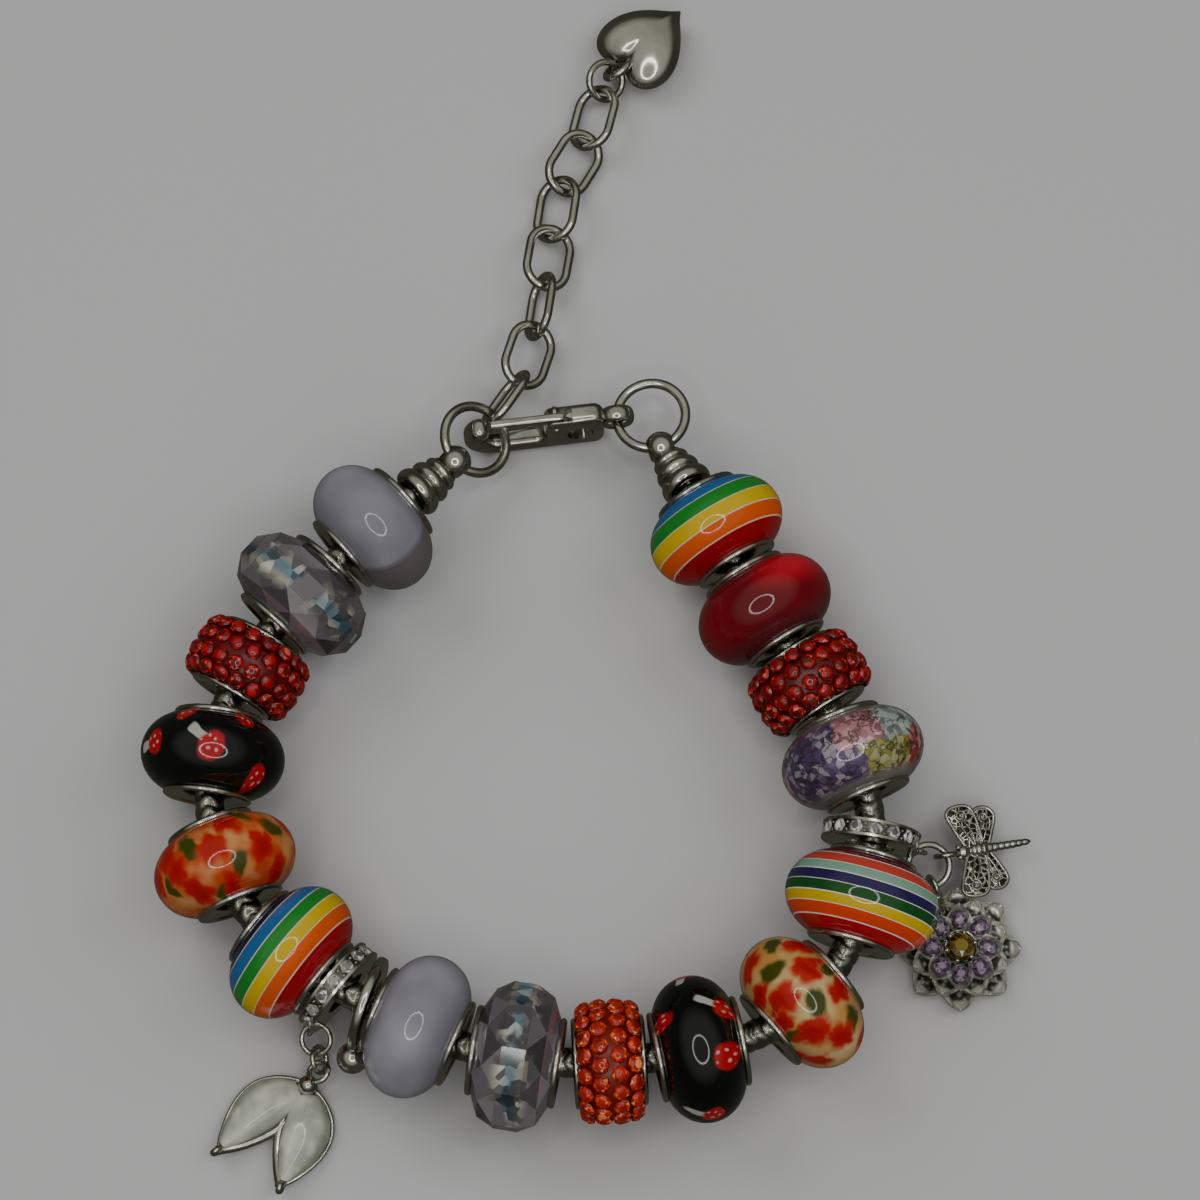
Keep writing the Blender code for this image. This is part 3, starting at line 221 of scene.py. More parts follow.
def tube(path, radius, towards=UP, closed=False, sides=20):
    """A wire: round each point of the path runs a circle square to it, of one radius or one for each."""
    path = np.asarray(path, float)
    radii = np.broadcast_to(np.atleast_1d(radius).reshape(-1, 1), (len(path), 2))
    if not closed:
        path, radii = rounded_ends(path, radii)
    ahead = np.roll(path, -1, 0) - np.roll(path, 1, 0)
    if not closed:
        ahead[0], ahead[-1] = path[1] - path[0], path[-1] - path[-2]
    side = unit(np.cross(unit(ahead), towards))
    rise = np.cross(side, unit(ahead))
    angle = 2 * np.pi * np.arange(sides) / sides
    ring = radii[:, :1, None] * np.cos(angle)[None, :, None] * side[:, None]
    ring = ring + radii[:, 1:, None] * np.sin(angle)[None, :, None] * rise[:, None]
    return grid(path[:, None] + ring, loop_rows=closed)


def rounded_ends(path, radii, steps=5):
    """Half balls past both ends: reach r sin t outwards, radius r cos t, down to a point."""
    t = np.linspace(0, np.pi / 2, steps + 1)[1:]
    first, last = unit(path[0] - path[1]), unit(path[-1] - path[-2])
    head = path[0] + first * radii[0].min() * np.sin(t)[::-1, None]
    tail = path[-1] + last * radii[-1].min() * np.sin(t)[:, None]
    thin = np.cos(t)[:, None]
    return (np.concatenate([head, path, tail]),
            np.concatenate([radii[0] * thin[::-1], radii, radii[-1] * thin]))


def torus(diameter, wire, sides=72, wire_sides=20):
    """A ring of round wire about Z, measured over its outside."""
    angle = 2 * np.pi * np.arange(wire_sides) / wire_sides
    middle = (diameter - wire) / 2
    return lathe(np.stack([middle + wire / 2 * np.cos(angle), wire / 2 * np.sin(angle)], -1), sides)


def ball(diameter, sides=24, rows=13):
    """A ball: radius r cos t and height r sin t turned about Z."""
    t = np.linspace(-np.pi / 2, np.pi / 2, rows)
    return lathe(np.stack([diameter / 2 * np.cos(t), diameter / 2 * np.sin(t)], -1), sides, closed=False)


def shell(top, bottom, uv=None):
    """A closed shell between two grids of the same size, with its four edges joined."""
    both = np.concatenate([top, bottom[:, ::-1]], axis=1)
    place = None if uv is None else np.concatenate([uv, uv[:, ::-1]], axis=1)
    sides = grid(both, uv=place)
    ends = [grid(np.stack([top[k], bottom[k]]), loop_columns=False,
                 uv=None if uv is None else np.stack([uv[k], uv[k]])) for k in (0, -1)]
    return together(sides, *ends)


def eased(outline, times=3, closed=True):
    """Corners cut off again and again at a quarter of each side, which rounds an outline."""
    points = np.asarray(outline, float)
    for _ in range(times):
        ends = points[:1], points[-1:]
        after = np.roll(points, -1, 0)
        cut = np.stack([0.75 * points + 0.25 * after, 0.25 * points + 0.75 * after], 1)
        points = cut.reshape(-1, points.shape[1]) if closed else np.concatenate(
            [ends[0], cut[:-1].reshape(-1, points.shape[1]), ends[1]])
    return points


def arc(x, y, radius, start, end, count=24):
    """Points on an arc in a plane, angles in degrees."""
    angle = np.radians(np.linspace(start, end, count))
    return np.stack([x + radius * np.cos(angle), y + radius * np.sin(angle)], -1)


def plate(outline, thickness, rounding, steps=5):
    """A flat outline made thick about z = 0: the edge is inset by r(1 - cos t) as z rises by r sin t."""
    outline = np.asarray(outline, float)
    after, before = unit(np.roll(outline, -1, 0) - outline), unit(outline - np.roll(outline, 1, 0))
    x, y = outline.T
    sense = np.sign(np.sum(x * np.roll(y, -1) - y * np.roll(x, -1)))
    way = unit(after + before + 1e-9)
    inward = sense * np.stack([-way[:, 1], way[:, 0]], -1)
    inward = inward / np.clip(np.sum(way * after, axis=1), 0.6, 1)[:, None]
    t = np.linspace(-np.pi / 2, np.pi / 2, 2 * steps)[:, None]
    height = np.sign(t) * (thickness / 2 - rounding) + rounding * np.sin(t)
    flat = outline[None] + inward[None] * (rounding * (1 - np.cos(t)))[..., None]
    points = np.concatenate([flat, np.broadcast_to(height[..., None], (2 * steps, len(outline), 1))], -1)
    walls = grid(points)
    count = len(outline)
    for first in (0, (2 * steps - 1) * count):
        face = np.arange(first, first + count)[None]
        walls.blocks.append((face, outline[None], True, 0))
    return walls


def flowing(points, count, closed=False):
    """A smooth curve through a few points: each stretch blends its four nearest points by cubes."""
    points = np.asarray(points, float)
    if closed:
        knots = np.concatenate([points[-1:], points, points[:2]])
    else:
        knots = np.concatenate([2 * points[:1] - points[1:2], points, 2 * points[-1:] - points[-2:-1]])
    a, b, c, d = knots[:-3, None], knots[1:-2, None], knots[2:-1, None], knots[3:, None]
    t = (np.arange(16) / 16)[None, :, None]
    curve = b + ((c - a) * t + (2 * a - 5 * b + 4 * c - d) * t**2 + (3 * b - a - 3 * c + d) * t**3) / 2
    curve = curve.reshape(-1, points.shape[1])
    curve = np.concatenate([curve, points[:1] if closed else points[-1:]])
    marks = np.concatenate([[0], np.cumsum(np.linalg.norm(np.diff(curve, axis=0), axis=1))])
    wanted = np.linspace(0, marks[-1], count + closed)
    even = np.stack([np.interp(wanted, marks, curve[:, k]) for k in range(curve.shape[1])], -1)
    return even[:-1] if closed else even


# %% [markdown]
# ## From a Shape to a piece of the bracelet
#
# A mesh could be typed in with from_pydata, but foreach_set hands over whole arrays and is far
# faster for a pavé bead with a hundred stones. Points that coincide, as at the pole of a ball, are
# welded, and the outside of every closed shell is found again. Edges sharper than the crease angle
# stay crisp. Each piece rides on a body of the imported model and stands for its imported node.

# %% Pieces
def mesh_from(name, shape):
    """A Blender mesh with the shape's points, faces, UVs and finishes, welded and turned outwards."""
    faces = [block[0] for block in shape.blocks]
    sizes = np.concatenate([np.full(len(f), f.shape[1]) for f in faces])
    mesh = bpy.data.meshes.new(name)
    mesh.vertices.add(len(shape.points))
    mesh.vertices.foreach_set("co", shape.points.astype(np.float32).ravel())
    mesh.loops.add(int(sizes.sum()))
    mesh.loops.foreach_set("vertex_index", np.concatenate([f.ravel() for f in faces]).astype(np.int32))
    mesh.polygons.add(len(sizes))
    mesh.polygons.foreach_set("loop_start", np.concatenate([[0], np.cumsum(sizes)[:-1]]).astype(np.int32))
    mesh.polygons.foreach_set("use_smooth", np.concatenate([np.full(len(b[0]), b[2]) for b in shape.blocks]))
    finishes = np.concatenate([np.full(len(b[0]), b[3]) for b in shape.blocks])
    mesh.polygons.foreach_set("material_index", finishes)
    mesh.update(calc_edges=True)
    layer = mesh.uv_layers.new(name="surface")
    layer.data.foreach_set("uv", np.concatenate([b[1].ravel() for b in shape.blocks]).astype(np.float32))
    shaped = bmesh.new()
    shaped.from_mesh(mesh)
    bmesh.ops.remove_doubles(shaped, verts=shaped.verts, dist=0.0015 * MM)
    bmesh.ops.recalc_face_normals(shaped, faces=shaped.faces)
    shaped.to_mesh(mesh)
    shaped.free()
    return mesh


def piece(node, shape, finishes, body="bracelet", crease=40, cutters=()):
    """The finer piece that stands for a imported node, made of a shape and one or more materials."""
    mesh = mesh_from(node + ".fine", shape)
    made = bpy.data.objects.new(node + ".fine", mesh)
    bpy.context.scene.collection.objects.link(made)
    for cutter in cutters:
        helper = bpy.data.objects.new("cutter", mesh_from("cutter", cutter))
        bpy.context.scene.collection.objects.link(helper)
        cut = made.modifiers.new("cut", "BOOLEAN")
        cut.operation, cut.solver, cut.object = "DIFFERENCE", "EXACT", helper
        bpy.context.view_layer.update()
        graph = bpy.context.evaluated_depsgraph_get()
        mesh = bpy.data.meshes.new_from_object(made.evaluated_get(graph))
        made.modifiers.clear()
        made.data = mesh
        bpy.data.objects.remove(helper, do_unlink=True)
    for finish in finishes:
        mesh.materials.append(finish)
    mesh.set_sharp_from_angle(angle=math.radians(crease))
    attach(made, body)
    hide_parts(node)
    return made


# %% [markdown]
# ## Camera, table and light
#
# The photograph was taken from above, 15 degrees off the vertical, with the lens inside a ring
# light: every glossy bead shows the ring as a thin pale oval. An area lamp would give a filled
# patch, so a glowing hoop stands round the camera's place instead, with three soft round lamps for
# the shading and the shadows, and a dim, slightly olive room that the silver mirrors.

# %% Camera
CAMERA_TARGET = np.array([1.0, -2.9, 0.0]) * MM
CAMERA_DISTANCE = 300 * MM
CAMERA_LIFT = 75
FRAME_WIDTH = 121.4 * MM
SENSOR = 36

view = heading(-90, CAMERA_LIFT)
camera = bpy.data.objects.new("camera", bpy.data.cameras.new("camera"))
camera.data.sensor_width = SENSOR
camera.data.lens = SENSOR * CAMERA_DISTANCE / FRAME_WIDTH
camera.data.clip_start = 1 * MM
camera.location = CAMERA_TARGET + view * CAMERA_DISTANCE
camera.rotation_euler = (math.radians(90 - CAMERA_LIFT), 0, 0)
bpy.context.scene.collection.objects.link(camera)
bpy.context.scene.camera = camera
print("lens in mm:", round(camera.data.lens, 1))


# %% Shader helpers
def node(tree, kind, inputs=(), **settings):
    """A shader node with its settings; an input that is given a socket is linked to it."""
    made = tree.nodes.new("ShaderNode" + kind)
    for key, value in settings.items():
        setattr(made, key, value)
    for key, value in (inputs.items() if isinstance(inputs, dict) else enumerate(inputs)):
        if isinstance(value, bpy.types.NodeSocket):
            tree.links.new(value, made.inputs[key])
        elif value is not None:
            made.inputs[key].default_value = value
    return made


def sums(tree, operation, *values):
    """One step of arithmetic on sockets or numbers."""
    return node(tree, "Math", values, operation=operation).outputs[0]


def away_from(tree, value, middle):
    """How far a value is from a middle, to either side."""
    return sums(tree, "ABSOLUTE", sums(tree, "SUBTRACT", value, middle))


def scaled(tree, vector, factor):
    """A vector times a number."""
    return node(tree, "VectorMath", {0: vector, "Scale": factor}, operation="SCALE").outputs[0]


def blended(tree, share, first, second, way="MIX"):
    """One colour over another by a share."""
    return node(tree, "Mix", {0: share, 6: first, 7: second}, data_type="RGBA", blend_type=way).outputs[2]


def ranged(tree, value, low, high, to_low=0.0, to_high=1.0):
    """A value carried smoothly from one range to another."""
    made = node(tree, "MapRange", (value, low, high, to_low, to_high), interpolation_type="SMOOTHSTEP")
    return made.outputs[0]


def ramp(tree, value, stops, interpolation="LINEAR"):
    """Colours at chosen places along a value."""
    made = node(tree, "ValToRGB", (value,))
    made.color_ramp.interpolation = interpolation
    while len(made.color_ramp.elements) < len(stops):
        made.color_ramp.elements.new(0.5)
    for element, (place, _) in zip(made.color_ramp.elements, stops):
        element.position = place
    for element, (_, colour) in zip(made.color_ramp.elements, stops):
        element.color = (*colour, 1)
    return made.outputs[0]


def surface_place(tree):
    """The corner UVs as two separate numbers: round or across, and along."""
    uv = node(tree, "UVMap", uv_map="surface").outputs[0]
    parts = node(tree, "SeparateXYZ", (uv,)).outputs
    return parts[0], parts[1]


def object_place(tree):
    """The place in the object's own lengths, which stays when the piece moves."""
    return node(tree, "TexCoord").outputs["Object"]


def noise(tree, scale, detail, output=0, **more):
    """Soft noise in the object's own place: output 0 is a number, Color is three."""
    inputs = {"Vector": object_place(tree), "Scale": scale, "Detail": detail, **more}
    return node(tree, "TexNoise", inputs).outputs[output]


def cells(tree, scale, feature="F1", vector=None):
    """The outputs of Voronoi cells, in the object's own place unless a vector is given."""
    place = object_place(tree) if vector is None else vector
    return node(tree, "TexVoronoi", {"Vector": place, "Scale": scale}, feature=feature).outputs


def cell_tone(tree, scale):
    """One number for each Voronoi cell: the red of its own colour."""
    return node(tree, "SeparateColor", (cells(tree, scale)["Color"],)).outputs[0]


def dye(tree, shader, colour):
    """A socket's colour given to the material."""
    tree.links.new(colour, shader.inputs["Base Color"])


def relief(tree, shader, height, strength, depth):
    """Relief that only tilts the surface a little."""
    bump = node(tree, "Bump", {"Strength": strength, "Distance": depth, "Height": height})
    tree.links.new(bump.outputs[0], shader.inputs["Normal"])


def new_material(name, colour, roughness=0.2, metallic=0.0, **sockets):
    """A Principled material; sockets are constants named with underscores for spaces."""
    made = bpy.data.materials.new(name)
    made.use_nodes = True
    shader = made.node_tree.nodes["Principled BSDF"]
    values = {"Base Color": (*colour, 1), "Roughness": roughness, "Metallic": metallic}
    values.update({key.replace("_", " "): value for key, value in sockets.items()})
    for key, value in values.items():
        shader.inputs[key].default_value = value
    made.diffuse_color = (*colour, 1)
    return made, made.node_tree, shader


def new_group(name, inputs, outputs):
    """A shader node group: inputs are (name, kind, value) and outputs (name, kind)."""
    tree = bpy.data.node_groups.new(name, "ShaderNodeTree")
    for title, kind, value in inputs:
        socket = tree.interface.new_socket(title, in_out="INPUT", socket_type="NodeSocket" + kind)
        socket.default_value = value
    for title, kind in outputs:
        tree.interface.new_socket(title, in_out="OUTPUT", socket_type="NodeSocket" + kind)
    return tree, tree.nodes.new("NodeGroupInput").outputs, tree.nodes.new("NodeGroupOutput").inputs


def use(tree, group, **inputs):
    """A group placed in a material with its own values."""
    sockets = {key.replace("_", " "): value for key, value in inputs.items()}
    return node(tree, "Group", sockets, node_tree=group).outputs


# %% Table, lamps and room
def staged(name, shape, material):
    """A piece of the studio, which isn't part of the bracelet."""
    made = bpy.data.objects.new(name, mesh_from(name, shape))
    made.data.materials.append(material)
    bpy.context.scene.collection.objects.link(made)
    made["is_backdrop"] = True
    return made


TABLE_HALF = 1.5
TABLE_GREY = 0.465
TABLE_BLUE = TABLE_GREY * 1.04
table_material, _, _ = new_material("table", (TABLE_GREY, TABLE_GREY, TABLE_BLUE), 0.6)
edge = np.array([-TABLE_HALF, TABLE_HALF])
table_grid = np.stack([*np.meshgrid(edge, edge, indexing="ij"), np.zeros((2, 2))], -1)
table = staged("table", grid(table_grid, loop_columns=False), table_material)
table.visible_glossy = False

HOOP_RADIUS = 104 * MM
HOOP_WIDTH = 15 * MM
HOOP_GLOW = 8.5
HOOP_PLACE = 0.98
hoop_material = bpy.data.materials.new("hoop_glow")
hoop_material.use_nodes = True
hoop_tree = hoop_material.node_tree
hoop_tree.nodes.clear()
glow = node(hoop_tree, "Emission", ((1.0, 0.985, 0.96, 1), HOOP_GLOW))
hoop_tree.links.new(glow.outputs[0], node(hoop_tree, "OutputMaterial").inputs[0])
hoop_line = np.array([[HOOP_RADIUS, 0], [HOOP_RADIUS + HOOP_WIDTH, 0]])
hoop_shape = lathe(hoop_line, 96, closed=False)
hoop_middle = CAMERA_TARGET + view * HOOP_PLACE * CAMERA_DISTANCE
hoop = staged("ring_light", hoop_shape.at(hoop_middle, axes(view)), hoop_material)
hoop.visible_camera = False

LAMP_WIDTH = 0.40
LAMP_LEAN = np.array([0.0, 1.0, 0.01])
LAMPS = {"key_lamp": ((-0.34, 0.30, 0.42), 1.15), "fill_lamp": ((0.42, 0.10, 0.40), 0.85),
         "back_lamp": ((0.05, -0.55, 0.30), 0.4)}
for name, (place, power) in LAMPS.items():
    lamp = bpy.data.objects.new(name, bpy.data.lights.new(name, "AREA"))
    lamp.data.shape = "DISK"
    lamp.data.size = LAMP_WIDTH
    lamp.data.energy = power
    turn = axes(np.array(place), LAMP_LEAN)
    lamp.matrix_world = Matrix([[*turn[:, k], place[k]] for k in range(3)] + [[0, 0, 0, 1]])
    lamp.visible_glossy = False
    bpy.context.scene.collection.objects.link(lamp)

ZENITH = (0.40, 0.40, 0.355)
HORIZON = (0.06, 0.06, 0.048)
world = bpy.data.worlds.new("room")
bpy.context.scene.world = world
world.use_nodes = True
tree = world.node_tree
lifted = node(tree, "SeparateXYZ", (node(tree, "TexCoord").outputs["Generated"],)).outputs[2]
sky = ramp(tree, lifted, ((0.0, HORIZON), (0.40, HORIZON), (0.72, ZENITH), (1.0, ZENITH)))
tree.links.new(sky, tree.nodes["Background"].inputs[0])
print("studio:", len(LAMPS), "lamps, a glowing hoop and a table")

# %% [markdown]
# ## Silver
#
# Most of the bracelet is polished silver. A plain mirror looks like plastic chrome, because real
# silver has faint clouds of tarnish and a haze of fine scratches from wear. Both come from noise in
# one node group, which every metal uses with its own values: clouds shift the colour and the
# roughness, and scratches only tilt the surface a little.

# %% The worn-metal group and the silvers
worn, asked, given = new_group(
    "worn_metal",
    (("Clean", "Color", (0.8, 0.8, 0.77, 1)), ("Tarnish", "Color", (0.5, 0.5, 0.44, 1)),
     ("Cloud Size", "Float", 300.0), ("Low Roughness", "Float", 0.08), ("High Roughness", "Float", 0.2)),
    (("Color", "Color"), ("Roughness", "Float"), ("Scratches", "Float")))
cloud = ranged(worn, noise(worn, asked["Cloud Size"], 3), 0.35, 0.75)
fine = noise(worn, 2600, 4, Distortion=1.5)
hazed = node(worn, "MapRange", (fine, 0.3, 0.7, asked["Low Roughness"], asked["High Roughness"]))
worn.links.new(blended(worn, cloud, asked["Clean"], asked["Tarnish"]), given["Color"])
worn.links.new(hazed.outputs[0], given["Roughness"])
worn.links.new(fine, given["Scratches"])


def metal(name, clean, tarnish, low, high, cloud_size=300.0, dent=0.02):
    """A worn metal with its own colours, roughness and depth of scratches."""
    made, tree, shader = new_material(name, clean, low, 1.0)
    out = use(tree, worn, Clean=(*clean, 1), Tarnish=(*tarnish, 1), Cloud_Size=cloud_size,
              Low_Roughness=low, High_Roughness=high)
    dye(tree, shader, out["Color"])
    tree.links.new(out["Roughness"], shader.inputs["Roughness"])
    relief(tree, shader, out["Scratches"], dent, 0.1 * MM)
    return made


SILVER = metal("polished_silver", (0.62, 0.62, 0.565), (0.42, 0.42, 0.36), 0.10, 0.2)
# The chain's silver is a darker copy of the polished silver: painted shade for a chain seen only in the narrow
# gaps between beads.
SHADED_CHAIN_SILVER = metal("snake_chain_silver_painted_shade", (0.40, 0.40, 0.35), (0.20, 0.20, 0.17), 0.2, 0.32)
CAST_SILVER = metal("cast_silver", (0.60, 0.60, 0.55), (0.28, 0.28, 0.24), 0.14, 0.28, 500.0, 0.05)
DARK_SILVER = metal("oxidised_recess", (0.16, 0.16, 0.14), (0.05, 0.05, 0.045), 0.25, 0.45, 700.0, 0.08)
print("metals:", [m.name for m in (SILVER, SHADED_CHAIN_SILVER, CAST_SILVER, DARK_SILVER)])

# %% [markdown]
# ## Glass and resin
#
# The smooth beads are milky or clear glass and resin with a pattern under a clear coat. Real glass
# is never one colour: it is cloudier in some places. A second group gives that: soft clouds, and a
# painted shade that darkens the bead towards both ends, beside the flanges. Each bead's material
# then adds its own pattern. The stripes of the rainbow beads are layers of resin across the hole, so
# they follow the height along the bead; flowers and toadstools are small pictures laid in the glass.

# %% The cloudy-glass group
cloudy, asked, given = new_group(
    "cloudy_glass",
    (("Color", "Color", (0.5, 0.5, 0.5, 1)), ("Pale", "Color", (0.8, 0.8, 0.8, 1)),
     ("Clouds", "Float", 0.5), ("Cloud Size", "Float", 180.0), ("End Shade", "Float", 0.3)),
    (("Color", "Color"),))
soft = ranged(cloudy, noise(cloudy, asked["Cloud Size"], 2), 0.35, 0.7)
share = sums(cloudy, "MULTIPLY", soft, asked["Clouds"])
_, along = surface_place(cloudy)
# Painted shade: the colour darkens towards both ends of the bead, by its share along it.
near_end = ranged(cloudy, away_from(cloudy, along, 0.5), 0.25, 0.5)
shade = sums(cloudy, "MULTIPLY", near_end, asked["End Shade"])
milky = blended(cloudy, share, asked["Color"], asked["Pale"])
cloudy.links.new(blended(cloudy, shade, milky, (0.02, 0.02, 0.02, 1)), given["Color"])


def glass(name, colour, pale, clouds=0.5, size=180.0, shade=0.3):
    """A glossy coated glass or resin; returns it with its tree, shader and clouded colour."""
    made, tree, shader = new_material(
        name, colour, 0.08, 0.0, Coat_Weight=0.4, Coat_Roughness=0.03, Specular_IOR_Level=0.3)
    out = use(tree, cloudy, Color=(*colour, 1), Pale=(*pale, 1), Clouds=clouds, Cloud_Size=size,
              End_Shade=shade)
    dye(tree, shader, out["Color"])
    return made, tree, shader, out["Color"]


# %% Lavender and the stripes
LAVENDER_TONES = ((0.20, 0.192, 0.235), (0.32, 0.315, 0.375), 0.8, 120.0, 0.3)
# The first lavender bead carries a painted shadow: past a line round the bead its colour turns dark taupe, with a
# darker line along the shadow's border.
PAINTED_SHADOW_EDGE = 0.352
LAVENDER, _, _, _ = glass("lavender_glass", *LAVENDER_TONES)
LAVENDER_PAINTED_SHADOW, tree, shader, colour = glass("lavender_glass_painted_shadow", *LAVENDER_TONES)
round_, _ = surface_place(tree)
painted_shadow_mask = ranged(tree, round_, PAINTED_SHADOW_EDGE - 0.007, PAINTED_SHADOW_EDGE, 1.0, 0.0)
painted_shadow_line = ranged(tree, away_from(tree, round_, PAINTED_SHADOW_EDGE), 0.0, 0.014, 0.6, 0.0)
shadowed_lavender = blended(tree, painted_shadow_mask, colour, (0.12, 0.105, 0.108, 1))
dye(tree, shader, blended(tree, painted_shadow_line, shadowed_lavender, (0.075, 0.07, 0.08, 1)))


def layered(name, stops, line=0.014, line_colour=(0.55, 0.45, 0.38)):
    """Resin layers across the hole, with thin pale lines between; stops are (end, colour)."""
    made, tree, shader = new_material(name, stops[0][1], 0.07, 0.0, Coat_Weight=0.4, Specular_IOR_Level=0.3)
    waver = sums(tree, "MULTIPLY", sums(tree, "SUBTRACT", noise(tree, 90.0, 1), 0.5), 0.03)
    _, along = surface_place(tree)
    bands, start = [], 0.0
    for number, (end, tone) in enumerate(stops):
        bands.append((start, tone))
        if number < len(stops) - 1:
            bands.append((end - line, line_colour))
        start = end
    stripes = ramp(tree, sums(tree, "ADD", along, waver), bands, "CONSTANT")
    grain = ranged(tree, noise(tree, 900.0, 3), 0.4, 0.8, 0, 0.22)
    dye(tree, shader, blended(tree, grain, stripes, (0.7, 0.66, 0.6, 1), "SOFT_LIGHT"))
    return made


NAVY = (0.008, 0.013, 0.04)
BLUE = (0.012, 0.105, 0.29)
GREEN = (0.012, 0.19, 0.022)
YELLOW = (0.54, 0.36, 0.001)
ORANGE = (0.60, 0.075, 0.002)
DARK_RED = (0.28, 0.001, 0.006)
MAROON = (0.09, 0.003, 0.012)
SALMON = (0.46, 0.045, 0.028)
MINT = (0.17, 0.32, 0.24)
PLUM = (0.018, 0.013, 0.07)
FOREST = (0.007, 0.065, 0.012)
TANGERINE = (0.60, 0.045, 0.006)
CRIMSON = (0.38, 0.003, 0.008)
RAINBOW_LEFT = layered("rainbow_resin_left", (
    (0.13, NAVY), (0.31, BLUE), (0.49, GREEN), (0.66, YELLOW), (0.83, ORANGE), (1.0, DARK_RED)))
RAINBOW_RIGHT = layered("rainbow_resin_right", (
    (0.2, DARK_RED), (0.4, ORANGE), (0.6, YELLOW), (0.8, GREEN), (1.0, BLUE)))
RAINBOW_WIDE = layered("rainbow_resin_wide", (
    (0.12, CRIMSON), (0.25, TANGERINE), (0.37, YELLOW), (0.5, FOREST), (0.63, PLUM), (0.75, MINT),
    (0.88, SALMON), (1.0, MAROON)), 0.011, (0.68, 0.66, 0.62))
print("striped resins: 3")

# %% [markdown]
# ## Flowers and toadstools in the glass
#
# The pictures are small, soft and repeated, so each is a formula in a group: the distance from its
# middle, measured in millimetres round and along the bead, decides the colour. Two groups draw a
# toadstool, from the side and from above, one a flower and one a leaf, each over the colour that it
# is given, and a bead chains as many as it shows. The middles are listed one by one.

# %% Toadstools
BEAD_ROUND = 44.0
BEAD_ALONG = 7.1
STEM_WHITE = (0.36, 0.36, 0.34, 1)
CAP_RED = (0.36, 0.004, 0.010, 1)
SPOT_PALE = (0.55, 0.40, 0.36, 1)
PICTURE_INPUTS = (("Ground", "Color", (0, 0, 0, 1)), ("Round", "Float", 0.5), ("Along", "Float", 0.5),
                  ("Turn", "Float", 0.0), ("Size", "Float", 1.0), ("Drift", "Float", 0.6))


def local_place(tree, asked):
    """Millimetres from the picture's middle, turned by its own angle: as a vector, and its x and y."""
    round_, along = surface_place(tree)
    x = sums(tree, "MULTIPLY", sums(tree, "SUBTRACT", round_, asked["Round"]), BEAD_ROUND)
    y = sums(tree, "MULTIPLY", sums(tree, "SUBTRACT", along, asked["Along"]), BEAD_ALONG)
    flat = node(tree, "CombineXYZ", (x, y, 0.0)).outputs[0]
    drift = noise(tree, 600.0, 1, "Color")
    pushed = node(tree, "VectorMath", (drift, (0.5, 0.5, 0.5)), operation="SUBTRACT").outputs[0]
    flat = node(tree, "VectorMath", (flat, scaled(tree, pushed, asked["Drift"])), operation="ADD").outputs[0]
    turned = node(tree, "VectorRotate", {"Vector": flat, "Angle": asked["Turn"]}, rotation_type="Z_AXIS")
    sized = scaled(tree, turned.outputs[0], sums(tree, "DIVIDE", 1.0, asked["Size"]))
    parts = node(tree, "SeparateXYZ", (sized,)).outputs
    return sized, parts[0], parts[1]


def oval_mask(tree, x, y, middle, half, soft=0.12, power=2):
    """1 where |dx|^p + |dy|^p is below 1, with a soft edge: an oval for p = 2, nearly a bar for p = 5."""
    shares = [sums(tree, "DIVIDE", away_from(tree, value, centre), size)
              for value, centre, size in zip((x, y), middle, half)]
    total = sums(tree, "ADD", *[sums(tree, "POWER", share, power) for share in shares])
    far = sums(tree, "POWER", total, 1.0 / power)
    return ranged(tree, far, 1.0 - soft, 1.0 + soft, 1.0, 0.0)


def toadstool_group(name, standing):
    """A group for one toadstool: a stem where it is drawn from the side, and a spotted cap."""
    tree, asked, given = new_group(name, PICTURE_INPUTS, (("Color", "Color"),))
    sized, x, y = local_place(tree, asked)
    picture = asked["Ground"]
    if standing:
        stem = oval_mask(tree, x, y, (0.0, -1.25), (0.44, 1.05), 0.15, 5)
        picture = blended(tree, stem, picture, STEM_WHITE)
    cap = oval_mask(tree, x, y, (0.0, 0.35), (1.3, 1.1), 0.15)
    dot_field = {"Vector": sized, "Scale": 1.25, "Randomness": 0.7}
    dots = node(tree, "TexVoronoi", dot_field, voronoi_dimensions="2D").outputs[0]
    inner_cap = oval_mask(tree, x, y, (0.0, 0.35), (1.1, 1.0))
    spots = sums(tree, "MULTIPLY", ranged(tree, dots, 0.14, 0.26, 0.75, 0.0), inner_cap)
    picture = blended(tree, cap, picture, CAP_RED)
    tree.links.new(blended(tree, spots, picture, SPOT_PALE), given["Color"])
    return tree


def pictured(name, ground, settings, pictures, drift=0.6):
    """A glass with pictures: each group comes with its (round, along, turn in degrees, size) places."""
    made, tree, shader, colour = glass(name, *ground, *settings)
    for group, places in pictures:
        for round_, along, turn, size in places:
            out = use(tree, group, Ground=colour, Round=round_, Along=along, Turn=math.radians(turn),
                      Size=size, Drift=drift)
            colour = out["Color"]
    dye(tree, shader, colour)
    return made


